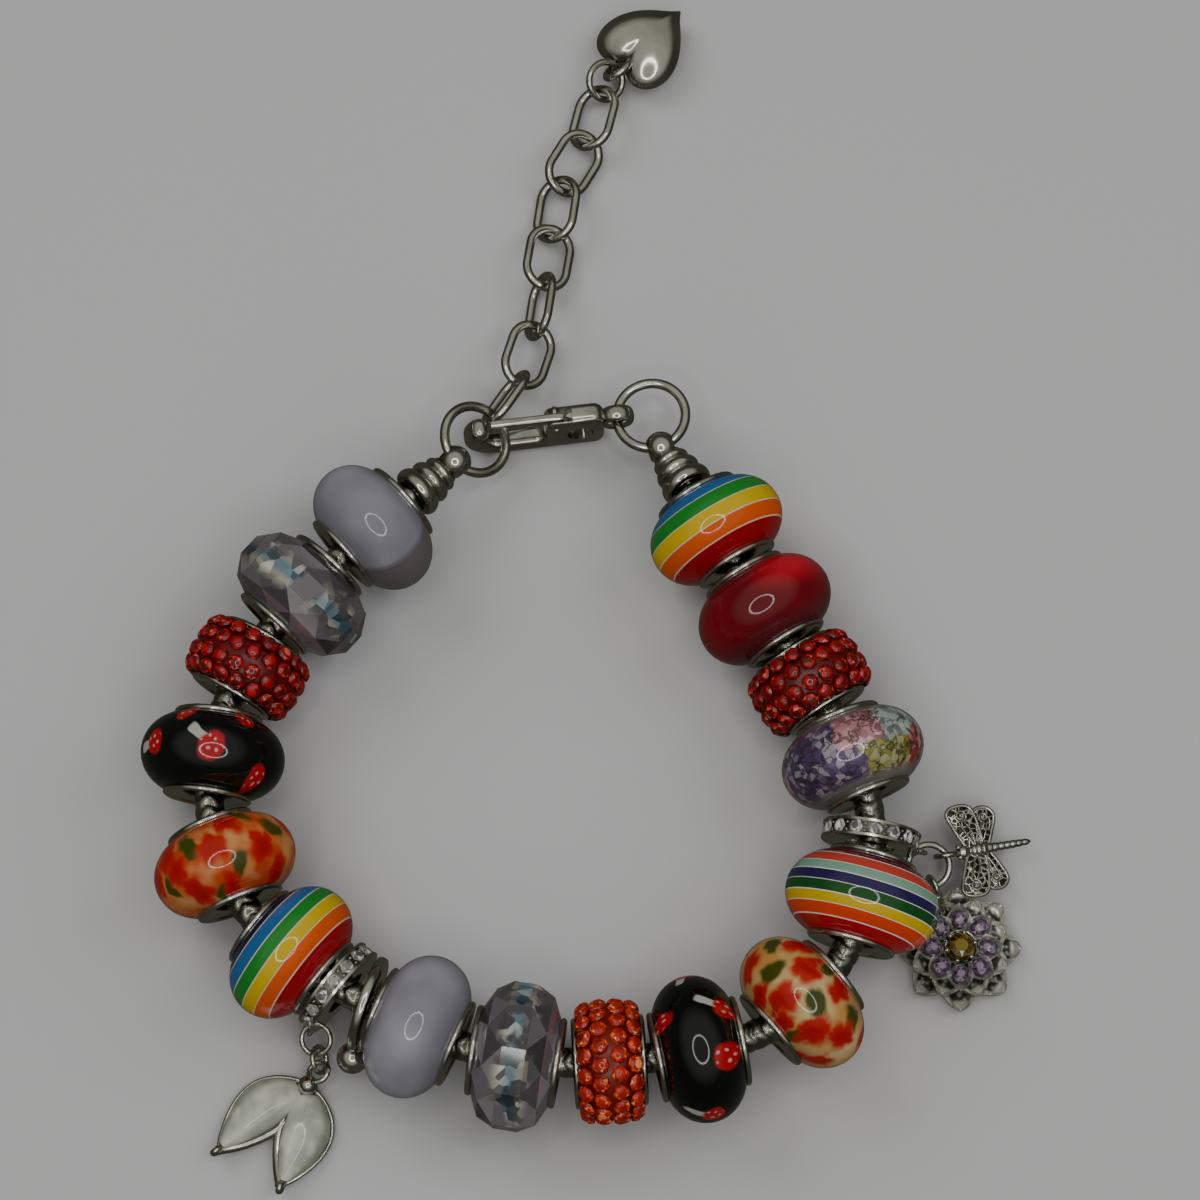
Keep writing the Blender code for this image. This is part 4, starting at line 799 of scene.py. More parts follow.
BLACK = ((0.002, 0.0025, 0.002), (0.006, 0.008, 0.006))
BLACK_CLOUDS = (0.4, 200.0, 0.0)
standing = toadstool_group("toadstool", True)
from_above = toadstool_group("toadstool_from_above", False)
TOADSTOOL_LEFT = pictured("toadstool_glass_left", BLACK, BLACK_CLOUDS, (
    (standing, ((0.49, 0.50, 306, 1.1), (0.635, 0.52, 260, 0.9))),
    (from_above, ((0.57, 0.02, 30, 0.95), (0.40, 0.00, 330, 0.95), (0.345, 0.80, 70, 1.0))),
    (standing, ((0.77, 0.7, 300, 1.0), (0.21, 0.45, 40, 1.0), (0.90, 0.40, 160, 1.0), (0.06, 0.6, 10, 1.0)))))
TOADSTOOL_BOTTOM = pictured("toadstool_glass_bottom", BLACK, BLACK_CLOUDS, (
    (from_above, ((0.41, 0.04, 100, 1.05),)), (standing, ((0.42, 0.84, 26, 1.0),)),
    (from_above, ((0.545, 0.74, 0, 1.1),)),
    (standing, ((0.69, 0.45, 20, 0.9), (0.29, 0.45, 280, 0.9), (0.79, 0.75, 60, 1.0), (0.20, 0.6, 200, 1.0),
                (0.90, 0.4, 130, 1.0), (0.07, 0.5, 330, 1.0)))))
print("toadstool groups:", standing.name, from_above.name)

# %% Flowers and leaves
blossom, asked, given = new_group("blossom", PICTURE_INPUTS, (("Color", "Color"),))
sized, x, y = local_place(blossom, asked)
far = node(blossom, "VectorMath", (sized,), operation="LENGTH").outputs["Value"]
turned = sums(blossom, "MULTIPLY", sums(blossom, "ARCTAN2", y, x), 2.5)
lobes = sums(blossom, "MULTIPLY", sums(blossom, "ABSOLUTE", sums(blossom, "COSINE", turned)), 0.3)
petals = ranged(blossom, sums(blossom, "SUBTRACT", far, lobes), 0.75, 1.45, 1.0, 0.0)
heart_of = ranged(blossom, far, 0.3, 1.1, 0.8, 0.0)
picture = blended(blossom, petals, asked["Ground"], (0.40, 0.008, 0.002, 1))
blossom.links.new(blended(blossom, heart_of, picture, (0.33, 0.002, 0.002, 1)), given["Color"])

leaf, asked, given = new_group("leaf", PICTURE_INPUTS, (("Color", "Color"),))
sized, x, y = local_place(leaf, asked)
blade = oval_mask(leaf, x, y, (0, 0), (1.2, 0.72), 0.3)
leaf.links.new(blended(leaf, blade, asked["Ground"], (0.042, 0.052, 0.003, 1)), given["Color"])

FLOWER_DRIFT = 1.6
ORANGE_GROUND = ((0.46, 0.05, 0.002), (0.52, 0.30, 0.10))
CREAM_GROUND = ((0.46, 0.22, 0.05), (0.52, 0.40, 0.20))
BLOSSOM_LEFT = pictured("blossom_resin_left", ORANGE_GROUND, (0.8, 330.0, 0.2), (
    (leaf, ((0.56, 0.28, 40, 1.15), (0.46, 0.72, 120, 1.15), (0.64, 0.62, 90, 1.0), (0.53, 0.97, 0, 1.0),
            (0.35, 0.4, 20, 1.1), (0.2, 0.6, 70, 1.2), (0.85, 0.4, 140, 1.2), (0.40, 0.10, 60, 1.0))),
    (blossom, ((0.505, 0.42, 10, 1.2), (0.58, 0.82, 50, 1.15), (0.45, 0.14, 30, 1.1), (0.40, 0.60, 0, 1.2),
               (0.63, 0.22, 60, 1.2), (0.49, 0.95, 0, 1.0), (0.60, 0.5, 0, 1.0), (0.34, 0.9, 0, 1.1),
               (0.69, 0.45, 20, 1.2), (0.28, 0.3, 0, 1.2), (0.2, 0.15, 0, 1.2), (0.1, 0.6, 0, 1.3),
               (0.02, 0.2, 0, 1.2), (0.92, 0.7, 0, 1.2), (0.78, 0.2, 0, 1.2)))), FLOWER_DRIFT)
BLOSSOM_BOTTOM = pictured("blossom_resin_bottom", CREAM_GROUND, (0.9, 260.0, 0.2), (
    (leaf, ((0.53, 0.50, 30, 1.2), (0.41, 0.38, 100, 1.2), (0.62, 0.80, 10, 1.1), (0.57, 0.02, 60, 1.1),
            (0.35, 0.62, 20, 1.1), (0.49, 0.98, 0, 1.0), (0.26, 0.5, 50, 1.2), (0.8, 0.5, 120, 1.2))),
    (blossom, ((0.475, 0.25, 10, 1.15), (0.46, 0.72, 40, 1.2), (0.55, 0.88, 0, 1.1), (0.52, 0.02, 0, 1.0),
               (0.58, 0.28, 20, 1.15), (0.63, 0.50, 55, 1.15), (0.38, 0.88, 0, 1.1), (0.41, 0.02, 0, 1.1),
               (0.33, 0.26, 30, 1.15), (0.68, 0.1, 0, 1.1), (0.72, 0.8, 0, 1.2), (0.2, 0.8, 0, 1.2),
               (0.14, 0.3, 0, 1.3), (0.02, 0.7, 0, 1.2), (0.9, 0.7, 0, 1.2),
               (0.84, 0.15, 0, 1.2)))), FLOWER_DRIFT)

# The cherry bead's two soft ovals of brighter red are painted highlights on the dark red glass.
PAINTED_SHEEN_HALF = (0.085, 0.22)
CHERRY, tree, shader, colour = glass(
    "cherry_glass", (0.11, 0.002, 0.006), (0.17, 0.003, 0.010), 0.9, 150.0, 0.5)
round_, along = surface_place(tree)
painted_sheens = [oval_mask(tree, round_, along, middle, PAINTED_SHEEN_HALF, 0.9) for middle in ((0.60, 0.72), (0.06, 0.35))]
dye(tree, shader, blended(tree, sums(tree, "MAXIMUM", *painted_sheens), colour, (0.46, 0.008, 0.022, 1)))
print("picture groups:", blossom.name, leaf.name)

# %% [markdown]
# ## Crystal, foil and cut stones
#
# A cut bead gets its life from its facets: each one mirrors another part of the room and lets some
# light through. The facets are real geometry, and each has its own tint, kept in its UV, because
# light inside real crystal leaves some facets bright and others dark. The foil bead is crumpled
# coloured foil under a smooth clear coat, and its cells come from Voronoi noise. The pavé stones
# have two tints: one for the whole stone and one for the facet. The dragonfly's lace is made here
# too, as bright ridges between the cells of the same noise.

# %% Crystal, foil and stones
def cut_glass(name, stops, roughness=0.06, by_stone=True, **sockets):
    """Facets tinted by their own v along a row of colours, shifted for each stone by its u."""
    made, tree, shader = new_material(name, stops[0][1], roughness, 0.0, **sockets)
    stone, facet = surface_place(tree)
    if by_stone:
        facet = sums(tree, "FRACT", sums(tree, "ADD", facet, sums(tree, "MULTIPLY", stone, 0.618)))
    colour = ramp(tree, facet, stops)
    dye(tree, shader, colour)
    return made, tree, shader, colour


CRYSTAL, tree, shader, colour = cut_glass(
    "smoky_crystal",
    ((0.0, (0.045, 0.038, 0.045)), (0.3, (0.11, 0.095, 0.11)), (0.6, (0.20, 0.175, 0.20)),
     (0.85, (0.33, 0.30, 0.33)), (1.0, (0.07, 0.06, 0.075))),
    0.05, False, Transmission_Weight=0.35, IOR=1.5, Coat_Weight=0.5)
# Partly the silver core seen through the glass and partly painted glints: pale and blue-green flakes laid on the
# facets round the bead's middle.
height_share, _ = surface_place(tree)
shard_tone = cell_tone(tree, 900.0)
off_middle = away_from(tree, height_share, 0.5)
inside = ranged(tree, off_middle, 0.08, 0.30, 1.0, 0.0)
centre = ranged(tree, off_middle, 0.03, 0.14, 1.0, 0.0)
pale = ramp(tree, shard_tone, (
    (0.0, (0.05, 0.045, 0.045)), (0.5, (0.14, 0.13, 0.12)), (0.75, (0.42, 0.40, 0.30)),
    (1.0, (0.80, 0.78, 0.64))))
teal = ramp(tree, shard_tone, (
    (0.0, (0.02, 0.035, 0.05)), (0.5, (0.06, 0.12, 0.16)), (0.8, (0.18, 0.30, 0.34)),
    (1.0, (0.70, 0.76, 0.74))))
core_glint_patches = sums(tree, "MULTIPLY", inside, ranged(tree, noise(tree, 330.0, 3), 0.40, 0.52))
dye(tree, shader, blended(tree, core_glint_patches, colour, blended(tree, centre, pale, teal)))

GARNET, _, _, _ = cut_glass("red_stones", (
    (0.0, (0.06, 0.0005, 0.001)), (0.45, (0.15, 0.001, 0.002)), (0.75, (0.27, 0.001, 0.003)),
    (0.92, (0.52, 0.004, 0.006)), (1.0, (0.85, 0.12, 0.09))), Coat_Weight=0.4)
FIRE, _, _, _ = cut_glass("orange_stones", (
    (0.0, (0.14, 0.002, 0.0005)), (0.4, (0.34, 0.008, 0.001)), (0.7, (0.56, 0.02, 0.002)),
    (0.9, (0.80, 0.07, 0.006)), (1.0, (0.90, 0.35, 0.12))), Coat_Weight=0.4)
CLEAR_STONES, _, _, _ = cut_glass("clear_stones", (
    (0.0, (0.05, 0.05, 0.05)), (0.4, (0.22, 0.22, 0.21)), (0.75, (0.50, 0.50, 0.47)),
    (1.0, (0.85, 0.85, 0.82))), Coat_Weight=0.6)
VIOLET_STONES, _, _, _ = cut_glass("violet_stones", (
    (0.0, (0.02, 0.009, 0.022)), (0.45, (0.055, 0.03, 0.062)), (0.8, (0.14, 0.09, 0.15)),
    (1.0, (0.45, 0.38, 0.46))), Coat_Weight=0.6)
AMBER, _, _, _ = cut_glass("amber_stone", (
    (0.0, (0.015, 0.008, 0.001)), (0.4, (0.045, 0.025, 0.002)), (0.75, (0.12, 0.075, 0.003)),
    (1.0, (0.24, 0.165, 0.005))), Coat_Weight=0.5)

VIOLET = (0.085, 0.045, 0.13)
PINK = (0.46, 0.20, 0.22)
TEAL = (0.30, 0.36, 0.34)
OLIVE = (0.26, 0.24, 0.035)
RUBY = (0.34, 0.02, 0.02)
FOIL, tree, shader = new_material(
    "crumpled_foil", (0.4, 0.36, 0.38), 0.3, 0.2, Coat_Weight=1.0, Coat_Roughness=0.03)
wrinkles = scaled(tree, noise(tree, 900.0, 4, "Color"), 0.0022)
creased = node(tree, "VectorMath", (object_place(tree), wrinkles), operation="ADD").outputs[0]
cracks = cells(tree, 520.0, "DISTANCE_TO_EDGE", creased)[0]
round_, along = surface_place(tree)
patchy = sums(tree, "SUBTRACT", noise(tree, 420.0, 3), 0.5)
place = sums(tree, "ADD", round_, sums(tree, "MULTIPLY", patchy, 0.10))
near_end = ramp(tree, place, ((0.0, OLIVE), (0.16, PINK), (0.27, VIOLET), (0.49, OLIVE), (0.63, RUBY),
                              (0.68, TEAL), (0.85, VIOLET)), "CONSTANT")
far_end = ramp(tree, place, ((0.0, TEAL), (0.14, OLIVE), (0.26, VIOLET), (0.45, PINK), (0.565, TEAL),
                             (0.72, PINK), (0.9, VIOLET)), "CONSTANT")
half_mask = ranged(tree, sums(tree, "ADD", along, sums(tree, "MULTIPLY", patchy, 0.5)), 0.46, 0.50)
hues = blended(tree, half_mask, near_end, far_end)
tone = cell_tone(tree, 1500.0)
varied = blended(tree, ranged(tree, tone, 0.5, 1.0, 0.0, 0.35), hues, (0.75, 0.72, 0.70, 1))
deep = blended(tree, ranged(tree, tone, 0.0, 0.45, 0.6, 0.0), varied, (0.03, 0.02, 0.03, 1))
cracked = blended(tree, ranged(tree, cracks, 0.01, 0.06, 0.85, 0.0), deep, (0.02, 0.018, 0.022, 1))
bare_end = ranged(tree, away_from(tree, along, 0.5), 0.36, 0.46)
dye(tree, shader, blended(tree, bare_end, cracked, (0.16, 0.15, 0.14, 1)))
relief(tree, shader, tone, 0.35, 0.3 * MM)

FILIGREE, tree, shader = new_material("filigree", (0.4, 0.4, 0.36), 0.25, 1.0)
lace = cells(tree, 1500.0, "DISTANCE_TO_EDGE")[0]
between = ranged(tree, lace, 0.06, 0.16)
dye(tree, shader, blended(tree, between, (0.66, 0.66, 0.60, 1), (0.04, 0.04, 0.035, 1)))
relief(tree, shader, ranged(tree, lace, 0.03, 0.2, 1.0, 0.0), 0.7, 0.12 * MM)
print("cut finishes: crystal, foil, clear, red, orange, violet, amber")

# %% [markdown]
# ## The strand
#
# Sixteen beads, two stone-set rings and a ball bail are threaded on the chain. Their order is
# listed once. A bead's middle is the middle of its packed box, and its hole points the way from
# the piece before it to the piece after it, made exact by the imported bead's shortest direction.

# %% Where each bead sits
STRAND = ("bead_01_lavender", "bead_02_crystal", "bead_03_pave", "bead_04_toadstool", "bead_05_blossom",
          "bead_06_rainbow", "spacer_left", "ball_bail", "bead_07_lavender", "bead_08_crystal",
          "bead_09_pave", "bead_10_toadstool", "bead_11_blossom", "bead_12_rainbow", "spacer_right",
          "bead_13_foil", "bead_14_pave", "bead_15_cherry", "bead_16_rainbow")
middles = np.array([box_middle(name) for name in STRAND])


def bead_turn(name):
    """The bead's directions as rows: x up, y out of the loop, z along the strand."""
    index = STRAND.index(name)
    onwards = middles[min(index + 1, len(STRAND) - 1)] - middles[max(index - 1, 0)]
    _, found = spread(corners(name))
    short = found[2] * LEVEL
    return axes(short * np.sign(short @ onwards))


def thread(name, shape, finishes, crease=40):
    """A piece of the strand: a shape drawn about Z, laid in the place of the bead of that name."""
    bead = name.replace("core", "bead")
    return piece(name, shape.at(box_middle(bead), bead_turn(bead)), finishes, crease=crease)


print("strand:", len(STRAND), "pieces")

# %% Outlines of beads and cores
BEAD_DIAMETER = 14.0 * MM
BEAD_LENGTH = 8.6 * MM
CRYSTAL_DIAMETER = 14.3 * MM
WIDE_DIAMETER = 15.0 * MM
WIDE_LENGTH = 9.1 * MM
PAVE_DIAMETER = 11.8 * MM
PAVE_LENGTH = 7.0 * MM
END_RADIUS = 4.1 * MM
END_MARGIN = 0.52 * MM
BODY_BORE = 2.9 * MM
ROUNDNESS = 0.7


def barrel(diameter, length, end_radius=END_RADIUS):
    """A bead's outline: radius r cos(t)^p and height h sin t, cut off where the radius is the end's."""
    half = length / 2 - END_MARGIN
    limit = math.acos((end_radius / (diameter / 2)) ** (1 / ROUNDNESS))
    t = np.linspace(limit, -limit, 41)
    outer = np.stack([diameter / 2 * np.cos(t) ** ROUNDNESS, half * np.sin(t) / math.sin(limit)], -1)
    edge = end_radius - 0.2 * MM
    inner = [(edge, -half), (BODY_BORE, -half), (BODY_BORE, half), (edge, half)]
    return np.concatenate([outer, inner])


def core(length):
    """The silver tube inside a bead; its flange is dished and rolled, drawn as (radius, depth) in mm."""
    flange = np.array([(2.3, 0.72), (2.32, 0.54), (2.5, 0.46), (3.1, 0.42), (3.5, 0.3), (3.72, 0.1),
                       (3.95, 0.0), (4.15, 0.04), (4.29, 0.2), (4.3, 0.38), (4.22, 0.54), (4.1, 0.62),
                       (2.8, 0.64), (2.65, 0.7)]) * MM
    upper = eased(flange * [1, -1] + [0, length / 2], 2, closed=False)
    lower = upper[::-1] * [1, -1]
    return lathe(np.concatenate([upper, lower]), 96)


print("bead outline points:", len(barrel(BEAD_DIAMETER, BEAD_LENGTH)))

# %% Smooth beads and all cores
SMOOTH = {
    "bead_01_lavender": LAVENDER_PAINTED_SHADOW, "bead_04_toadstool": TOADSTOOL_LEFT,
    "bead_05_blossom": BLOSSOM_LEFT, "bead_06_rainbow": RAINBOW_LEFT, "bead_07_lavender": LAVENDER,
    "bead_10_toadstool": TOADSTOOL_BOTTOM, "bead_11_blossom": BLOSSOM_BOTTOM, "bead_15_cherry": CHERRY,
    "bead_16_rainbow": RAINBOW_RIGHT,
}
for name, finish in SMOOTH.items():
    thread(name, lathe(barrel(BEAD_DIAMETER, BEAD_LENGTH)), [finish])
thread("bead_12_rainbow", lathe(barrel(WIDE_DIAMETER, WIDE_LENGTH)), [RAINBOW_WIDE])

LENGTHS = {"pave": PAVE_LENGTH, "12_rainbow": WIDE_LENGTH}
for name in STRAND:
    if name.startswith("bead"):
        length = next((size for word, size in LENGTHS.items() if name.endswith(word)), BEAD_LENGTH)
        thread(name.replace("bead", "core"), core(length), [SILVER], crease=60)
print("smooth beads:", len(SMOOTH) + 1)

# %% [markdown]
# ## Cut beads and the foil bead
#
# A crystal bead is ground flat, row by row: a middle row of large facets, and two rows that lean
# over each end. Rings of corners give exactly these facets when neighbours are joined: by triangles
# where a ring is turned half a step from the next, and by four-sided faces where it isn't. Each
# facet has its own tint, though it is welded to its neighbours, and none is smoothed. The foil bead
# is smooth outside.

# %% Facets between rings of corners
rng = np.random.default_rng(7)


def faceted(rings, count, closed_ends=False):
    """Faces between rings of (radius, height, turn in steps); u is the height's share, v a random tint."""
    k = np.arange(count)
    after = (k + 1) % count
    points = np.concatenate([radius * spokes(2 * np.pi / count * (k + turn)) + height * UP
                             for radius, height, turn in rings])
    blocks = []
    for row in range(len(rings) - 1):
        low, high = row * count, (row + 1) * count
        lead = rings[row + 1][2] - rings[row][2]
        if lead == 0:
            blocks.append(np.stack([low + k, low + after, high + after, high + k], -1))
        elif lead > 0:
            blocks += [np.stack([low + k, low + after, high + k], -1),
                       np.stack([high + k, low + after, high + after], -1)]
        else:
            blocks += [np.stack([low + k, low + after, high + after], -1),
                       np.stack([high + k, low + k, high + after], -1)]
    if closed_ends:
        blocks += [k[None], (len(rings) - 1) * count + k[None]]
    height = points[:, 2]
    share = (height - height.min()) / np.ptp(height)
    made = []
    for faces in blocks:
        tints = np.broadcast_to(rng.random(len(faces))[:, None], faces.shape)
        made.append((faces, np.stack([share[faces], tints], -1), False, 0))
    return Shape(points, made)


CRYSTAL_FACETS = 10
LEAN_OUT = 0.66
LEAN_HEIGHT = 0.74
BELT_HEIGHT = 0.30


def cut_bead(diameter, length):
    """A faceted bead: its outside in rings of corners, its hole a plain cylinder."""
    half = length / 2 - END_MARGIN
    full = diameter / 2
    leaning = END_RADIUS + LEAN_OUT * (full - END_RADIUS)
    upper = [(BODY_BORE, half, 0), (END_RADIUS, half, 0), (leaning, LEAN_HEIGHT * half, 0.5),
             (full, BELT_HEIGHT * half, 0)]
    lower = [(radius, -height, -turn) for radius, height, turn in upper[::-1]]
    return faceted(upper + lower + upper[:1], CRYSTAL_FACETS)


for name in ("bead_02_crystal", "bead_08_crystal"):
    thread(name, cut_bead(CRYSTAL_DIAMETER, BEAD_LENGTH), [CRYSTAL], crease=1)
thread("bead_13_foil", lathe(barrel(CRYSTAL_DIAMETER, BEAD_LENGTH)), [FOIL])
print("crystal beads: 2, foil beads: 1")

# %% [markdown]
# ## Pavé beads
#
# Pavé is a field of small round stones set close together, here in a dark bed of their own colour.
# Each stone is cut with a flat table and a crown of facets. The stones are laid in rows round a
# barrel, every second row turned by half a stone, and lean with the barrel's surface.

# %% A cut stone and the pavé rows
def cut_stone(diameter, crown=0.22, table=0.5, facets=8):
    """A round stone with a small flat table: rings of corners at table, crown, girdle and foot."""
    r = diameter / 2
    rings = [(table * r, crown * diameter, 0), (0.8 * r, 0.62 * crown * diameter, 0.5), (r, 0, 0),
             (r, -0.05 * diameter, 0), (0.2 * r, -0.4 * diameter, 0)]
    return faceted(rings, facets, closed_ends=True)


PAVE_ROWS = 4
PAVE_STONE = 1.72 * MM
PAVE_PITCH = 1.8 * MM
PAVE_REACH = 0.95


def pave_bead():
    """Stones on a barrel: a row's slope t gives its radius and height, and as many stones as fit."""
    half = PAVE_LENGTH / 2 - END_MARGIN
    full = PAVE_DIAMETER / 2 - 0.34 * MM
    end = 4.3 * MM
    bed = lathe(barrel(2 * full - 0.06 * MM, PAVE_LENGTH, 4.2 * MM), 96)
    origins, turns = [], []
    for row, t in enumerate(np.linspace(-PAVE_REACH, PAVE_REACH, PAVE_ROWS)):
        radius, height = end + (full - end) * np.cos(t) ** ROUNDNESS, half * np.sin(t)
        count = int(2 * np.pi * radius / PAVE_PITCH)
        flat = spokes(2 * np.pi * (np.arange(count) + 0.5 * (row % 2)) / count)
        lean = 0.7 * t
        out = flat * np.cos(lean) + UP * np.sin(lean)
        side = np.cross(UP, flat)
        origins.append(flat * radius + UP * height)
        turns.append(np.stack([side, np.cross(out, side), out], 1))
    origins, turns = np.concatenate(origins), np.concatenate(turns)
    stones = cut_stone(PAVE_STONE).copies(origins, turns, rng.random(len(origins)))
    return together(stones, bed.finished(1)), len(origins)


RED_BED, _, _ = new_material("dark_red_setting", (0.085, 0.001, 0.002), 0.3, 0.0)
ORANGE_BED, _, _ = new_material("dark_orange_setting", (0.14, 0.004, 0.001), 0.3, 0.0)
PAVE_FINISHES = {"bead_03_pave": [GARNET, RED_BED], "bead_09_pave": [FIRE, ORANGE_BED],
                 "bead_14_pave": [GARNET, RED_BED]}
for name, finishes in PAVE_FINISHES.items():
    shape, count = pave_bead()
    thread(name, shape, finishes, crease=30)
    print(name, "stones:", count)

# %% [markdown]
# ## The snake chain
#
# A snake chain is a tube of small curved plates hooked into each other, so it looks ribbed and
# scaly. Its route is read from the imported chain: its corners come in rings round the route, and
# the mean of each ring is a point of it. The surface is a tube whose radius dips between plates;
# the dips zigzag round the tube, because rows of plates side by side are half a plate apart.

# %% The chain's route and its plates
CHAIN_DIAMETER = 2.9 * MM
PLATE_PITCH = 1.3 * MM
INTO_CAP = 4 * MM
CAPS = {
    "end_cap_left": ((-17.825, 6.129, 6.347), (0.736, 0.6647, -0.128), "ring_left"),
    "end_cap_right": ((10.022, 6.831, 6.262), (-0.4967, 0.8371, -0.2291), "ring_right"),
}


def ring_means(node, guide, gap=1.2 * MM):
    """Corners sorted along a guide line and split where their place jumps; the mean of each part."""
    points = corners(node)
    start, step = guide[:-1], np.diff(guide, axis=0)
    size = np.linalg.norm(step, axis=1)
    marks = np.concatenate([[0], np.cumsum(size)[:-1]])
    share = np.einsum("pgi,gi->pg", points[:, None] - start, step) / size**2
    foot = start + np.clip(share, 0, 1)[..., None] * step
    nearest = np.argmin(np.linalg.norm(points[:, None] - foot, axis=2), axis=1)
    rows = np.arange(len(points))
    place = marks[nearest] + share[rows, nearest] * size[nearest]
    order = np.argsort(place)
    groups = np.split(order, np.where(np.diff(place[order]) > gap)[0] + 1)
    return np.array([points[group].mean(axis=0) for group in groups])


first, last = [np.array(mouth) * MM + np.array(way) * INTO_CAP for mouth, way, _ in CAPS.values()]
route = ring_means("snake_chain", np.concatenate([[first], middles, [last]]))
rows = 1500
path = flowing(route, rows)
length = np.linalg.norm(np.diff(path, axis=0), axis=1).sum()
print("chain rings:", len(route), "length in mm:", round(length / MM, 1))

columns = 32
SCALES_ROUND = 4
PLATE_DEPTH = 0.14
along = np.linspace(0, length, rows)[:, None] / PLATE_PITCH
angle = 2 * np.pi * np.arange(columns) / columns
zigzag = np.abs(((angle / (2 * np.pi) * SCALES_ROUND) % 1) * 2 - 1)
dip = np.abs(np.sin(np.pi * (along + 0.5 * zigzag))) ** 0.45
radius = CHAIN_DIAMETER / 2 * (1 - PLATE_DEPTH + PLATE_DEPTH * dip)
ahead = unit(np.gradient(path, axis=0))
side = unit(np.cross(ahead, UP))
rise = np.cross(side, ahead)
out = np.cos(angle)[:, None] * side[:, None] + np.sin(angle)[:, None] * rise[:, None]
skin = path[:, None] + radius[..., None] * out
skin[0], skin[-1] = path[0], path[-1]
piece("snake_chain", grid(skin), [SHADED_CHAIN_SILVER], crease=80)

# %% [markdown]
# ## End caps, rings and links
#
# Each end of the chain sits in a ribbed cup, closed by a ball with a hole for a large ring. The
# ball with its hole is one turned shape, a circle's arc from one rim of the hole to the other. The
# rings and the oval links of the extender are plain polished wire. Their places come from the
# packed ones, whose shortest direction is square to the ring.

# %% End caps
CAP_LENGTH = 4.4 * MM
CAP_EYE = 5.78 * MM
CAP_BALL = 3.3 * MM
CAP_HOLE = 1.9 * MM
RIB_ENDS = (0, 0.42, 0.76, 1)
WAISTS = (2.05, 1.85, 1.5, 1.2)


def ring_frame(node):
    """A packed ring's middle and its long, middle and short directions; the short one is square to it."""
    return spread(corners(node))


def drilled_ball(diameter, hole):
    """A ball with a hole along Z: an arc of (r cos t, r sin t) between the rims, closed by the wall."""
    limit = math.acos(hole / diameter)
    t = np.linspace(-limit, limit, 22)
    return lathe(np.stack([diameter / 2 * np.cos(t), diameter / 2 * np.sin(t)], -1), 48)


def cap_outline():
    """Three round ribs, each narrower and shorter than the last: waist + rib times the root of a sine."""
    share = np.linspace(0.02, 1.0, 90)
    rib = np.abs(np.sin(np.pi * np.interp(share, RIB_ENDS, [0, 1, 2, 3]))) ** 0.5
    waist = np.interp(share, RIB_ENDS, WAISTS)
    radius = (waist + (0.72 - 0.2 * share) * rib) * MM
    outer = np.stack([radius, share * CAP_LENGTH], -1)
    neck = [(1.5 * MM, CAP_LENGTH + 0.1 * MM), (1.0 * MM, CAP_LENGTH + 0.3 * MM), (0, CAP_LENGTH + 0.35 * MM)]
    mouth = [(0, 2.9 * MM), (1.75 * MM, 2.9 * MM), (1.75 * MM, 0.1 * MM), (1.95 * MM, 0)]
    return np.concatenate([mouth, outer, neck])


for name, (mouth, way, ring) in CAPS.items():
    mouth, way = np.array(mouth) * MM, np.array(way)
    knob_middle = mouth + unit(way) * CAP_EYE
    middle, found = ring_frame(ring)
    hole_way = np.cross(found[2], knob_middle - middle)
    cup = lathe(cap_outline(), 72, closed=False).at(mouth, axes(way))
    knob = drilled_ball(CAP_BALL, CAP_HOLE).at(knob_middle, axes(hole_way))
    piece(name, together(cup, knob), [SILVER], crease=50)
print("end caps:", len(CAPS))

# %% Rings and links
RINGS = {"ring_left": (8.0, 1.0), "ring_right": (8.0, 1.0), "heart_ring": (4.6, 0.7),
         "charm_ring_right": (4.8, 0.65), "charm_ring_left_1": (3.4, 0.5), "charm_ring_left_2": (3.0, 0.5)}
LINKS = 7
LINK_LENGTH = 7.6 * MM
LINK_WIDTH = 5.3 * MM
LINK_WIRE = 0.9 * MM


def oval_path(length, width, count=96):
    """Two half circles joined by straights, long along x, measured over the wire's middle."""
    way = spokes(2 * np.pi * (np.arange(count) + 0.5) / count)
    return way * width / 2 + EAST * np.sign(way[:, :1]) * (length - width) / 2


for name, (diameter, wire) in RINGS.items():
    middle, found = ring_frame(name)
    piece(name, torus(diameter * MM, wire * MM).at(middle, axes(found[2], found[0])), [SILVER])
link = tube(oval_path(LINK_LENGTH - LINK_WIRE, LINK_WIDTH - LINK_WIRE), LINK_WIRE / 2, closed=True)
for number in range(1, LINKS + 1):
    name = f"link_{number}"
    middle, found = ring_frame(name)
    piece(name, link.at(middle, [found[0], found[1], np.cross(found[0], found[1])]), [SILVER])
print("rings:", len(RINGS), "links:", LINKS)

# %% [markdown]
# ## Stone-set spacers and the ball bail
#
# A spacer is a grooved ring: two rims with a dark channel between them, set with clear stones and
# tiny grains, and a small eye for a charm's jump ring. The bail is a plain tapered ring with a
# short neck and a ball. All three hang loose on the chain, turned a little to the strand, so their
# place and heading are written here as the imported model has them.

# %% Spacers
SPACER_DIAMETER = 9.6 * MM
SPACER_WIDTH = 1.8 * MM
SPACER_RIM = 0.3 * MM
SPACER_GROOVE = 0.4 * MM
SPACER_BORE = 2.4 * MM
EYE_HOLE = 1.5 * MM
EYE_WIRE = 0.55 * MM
EYE_OUTSIDE = EYE_HOLE + 2 * EYE_WIRE
SPACER_STONES = 15
GRAIN_APART = 0.36 * MM
SPACERS = {
    "spacer_left": (np.array([-24.065, -42.865, 5.9]) * MM, -38.94, 42, "charm_ring_left_1"),
    "spacer_right": (np.array([27.269, -28.332, 6.248]) * MM, 79.93, 32, "charm_ring_right"),
}


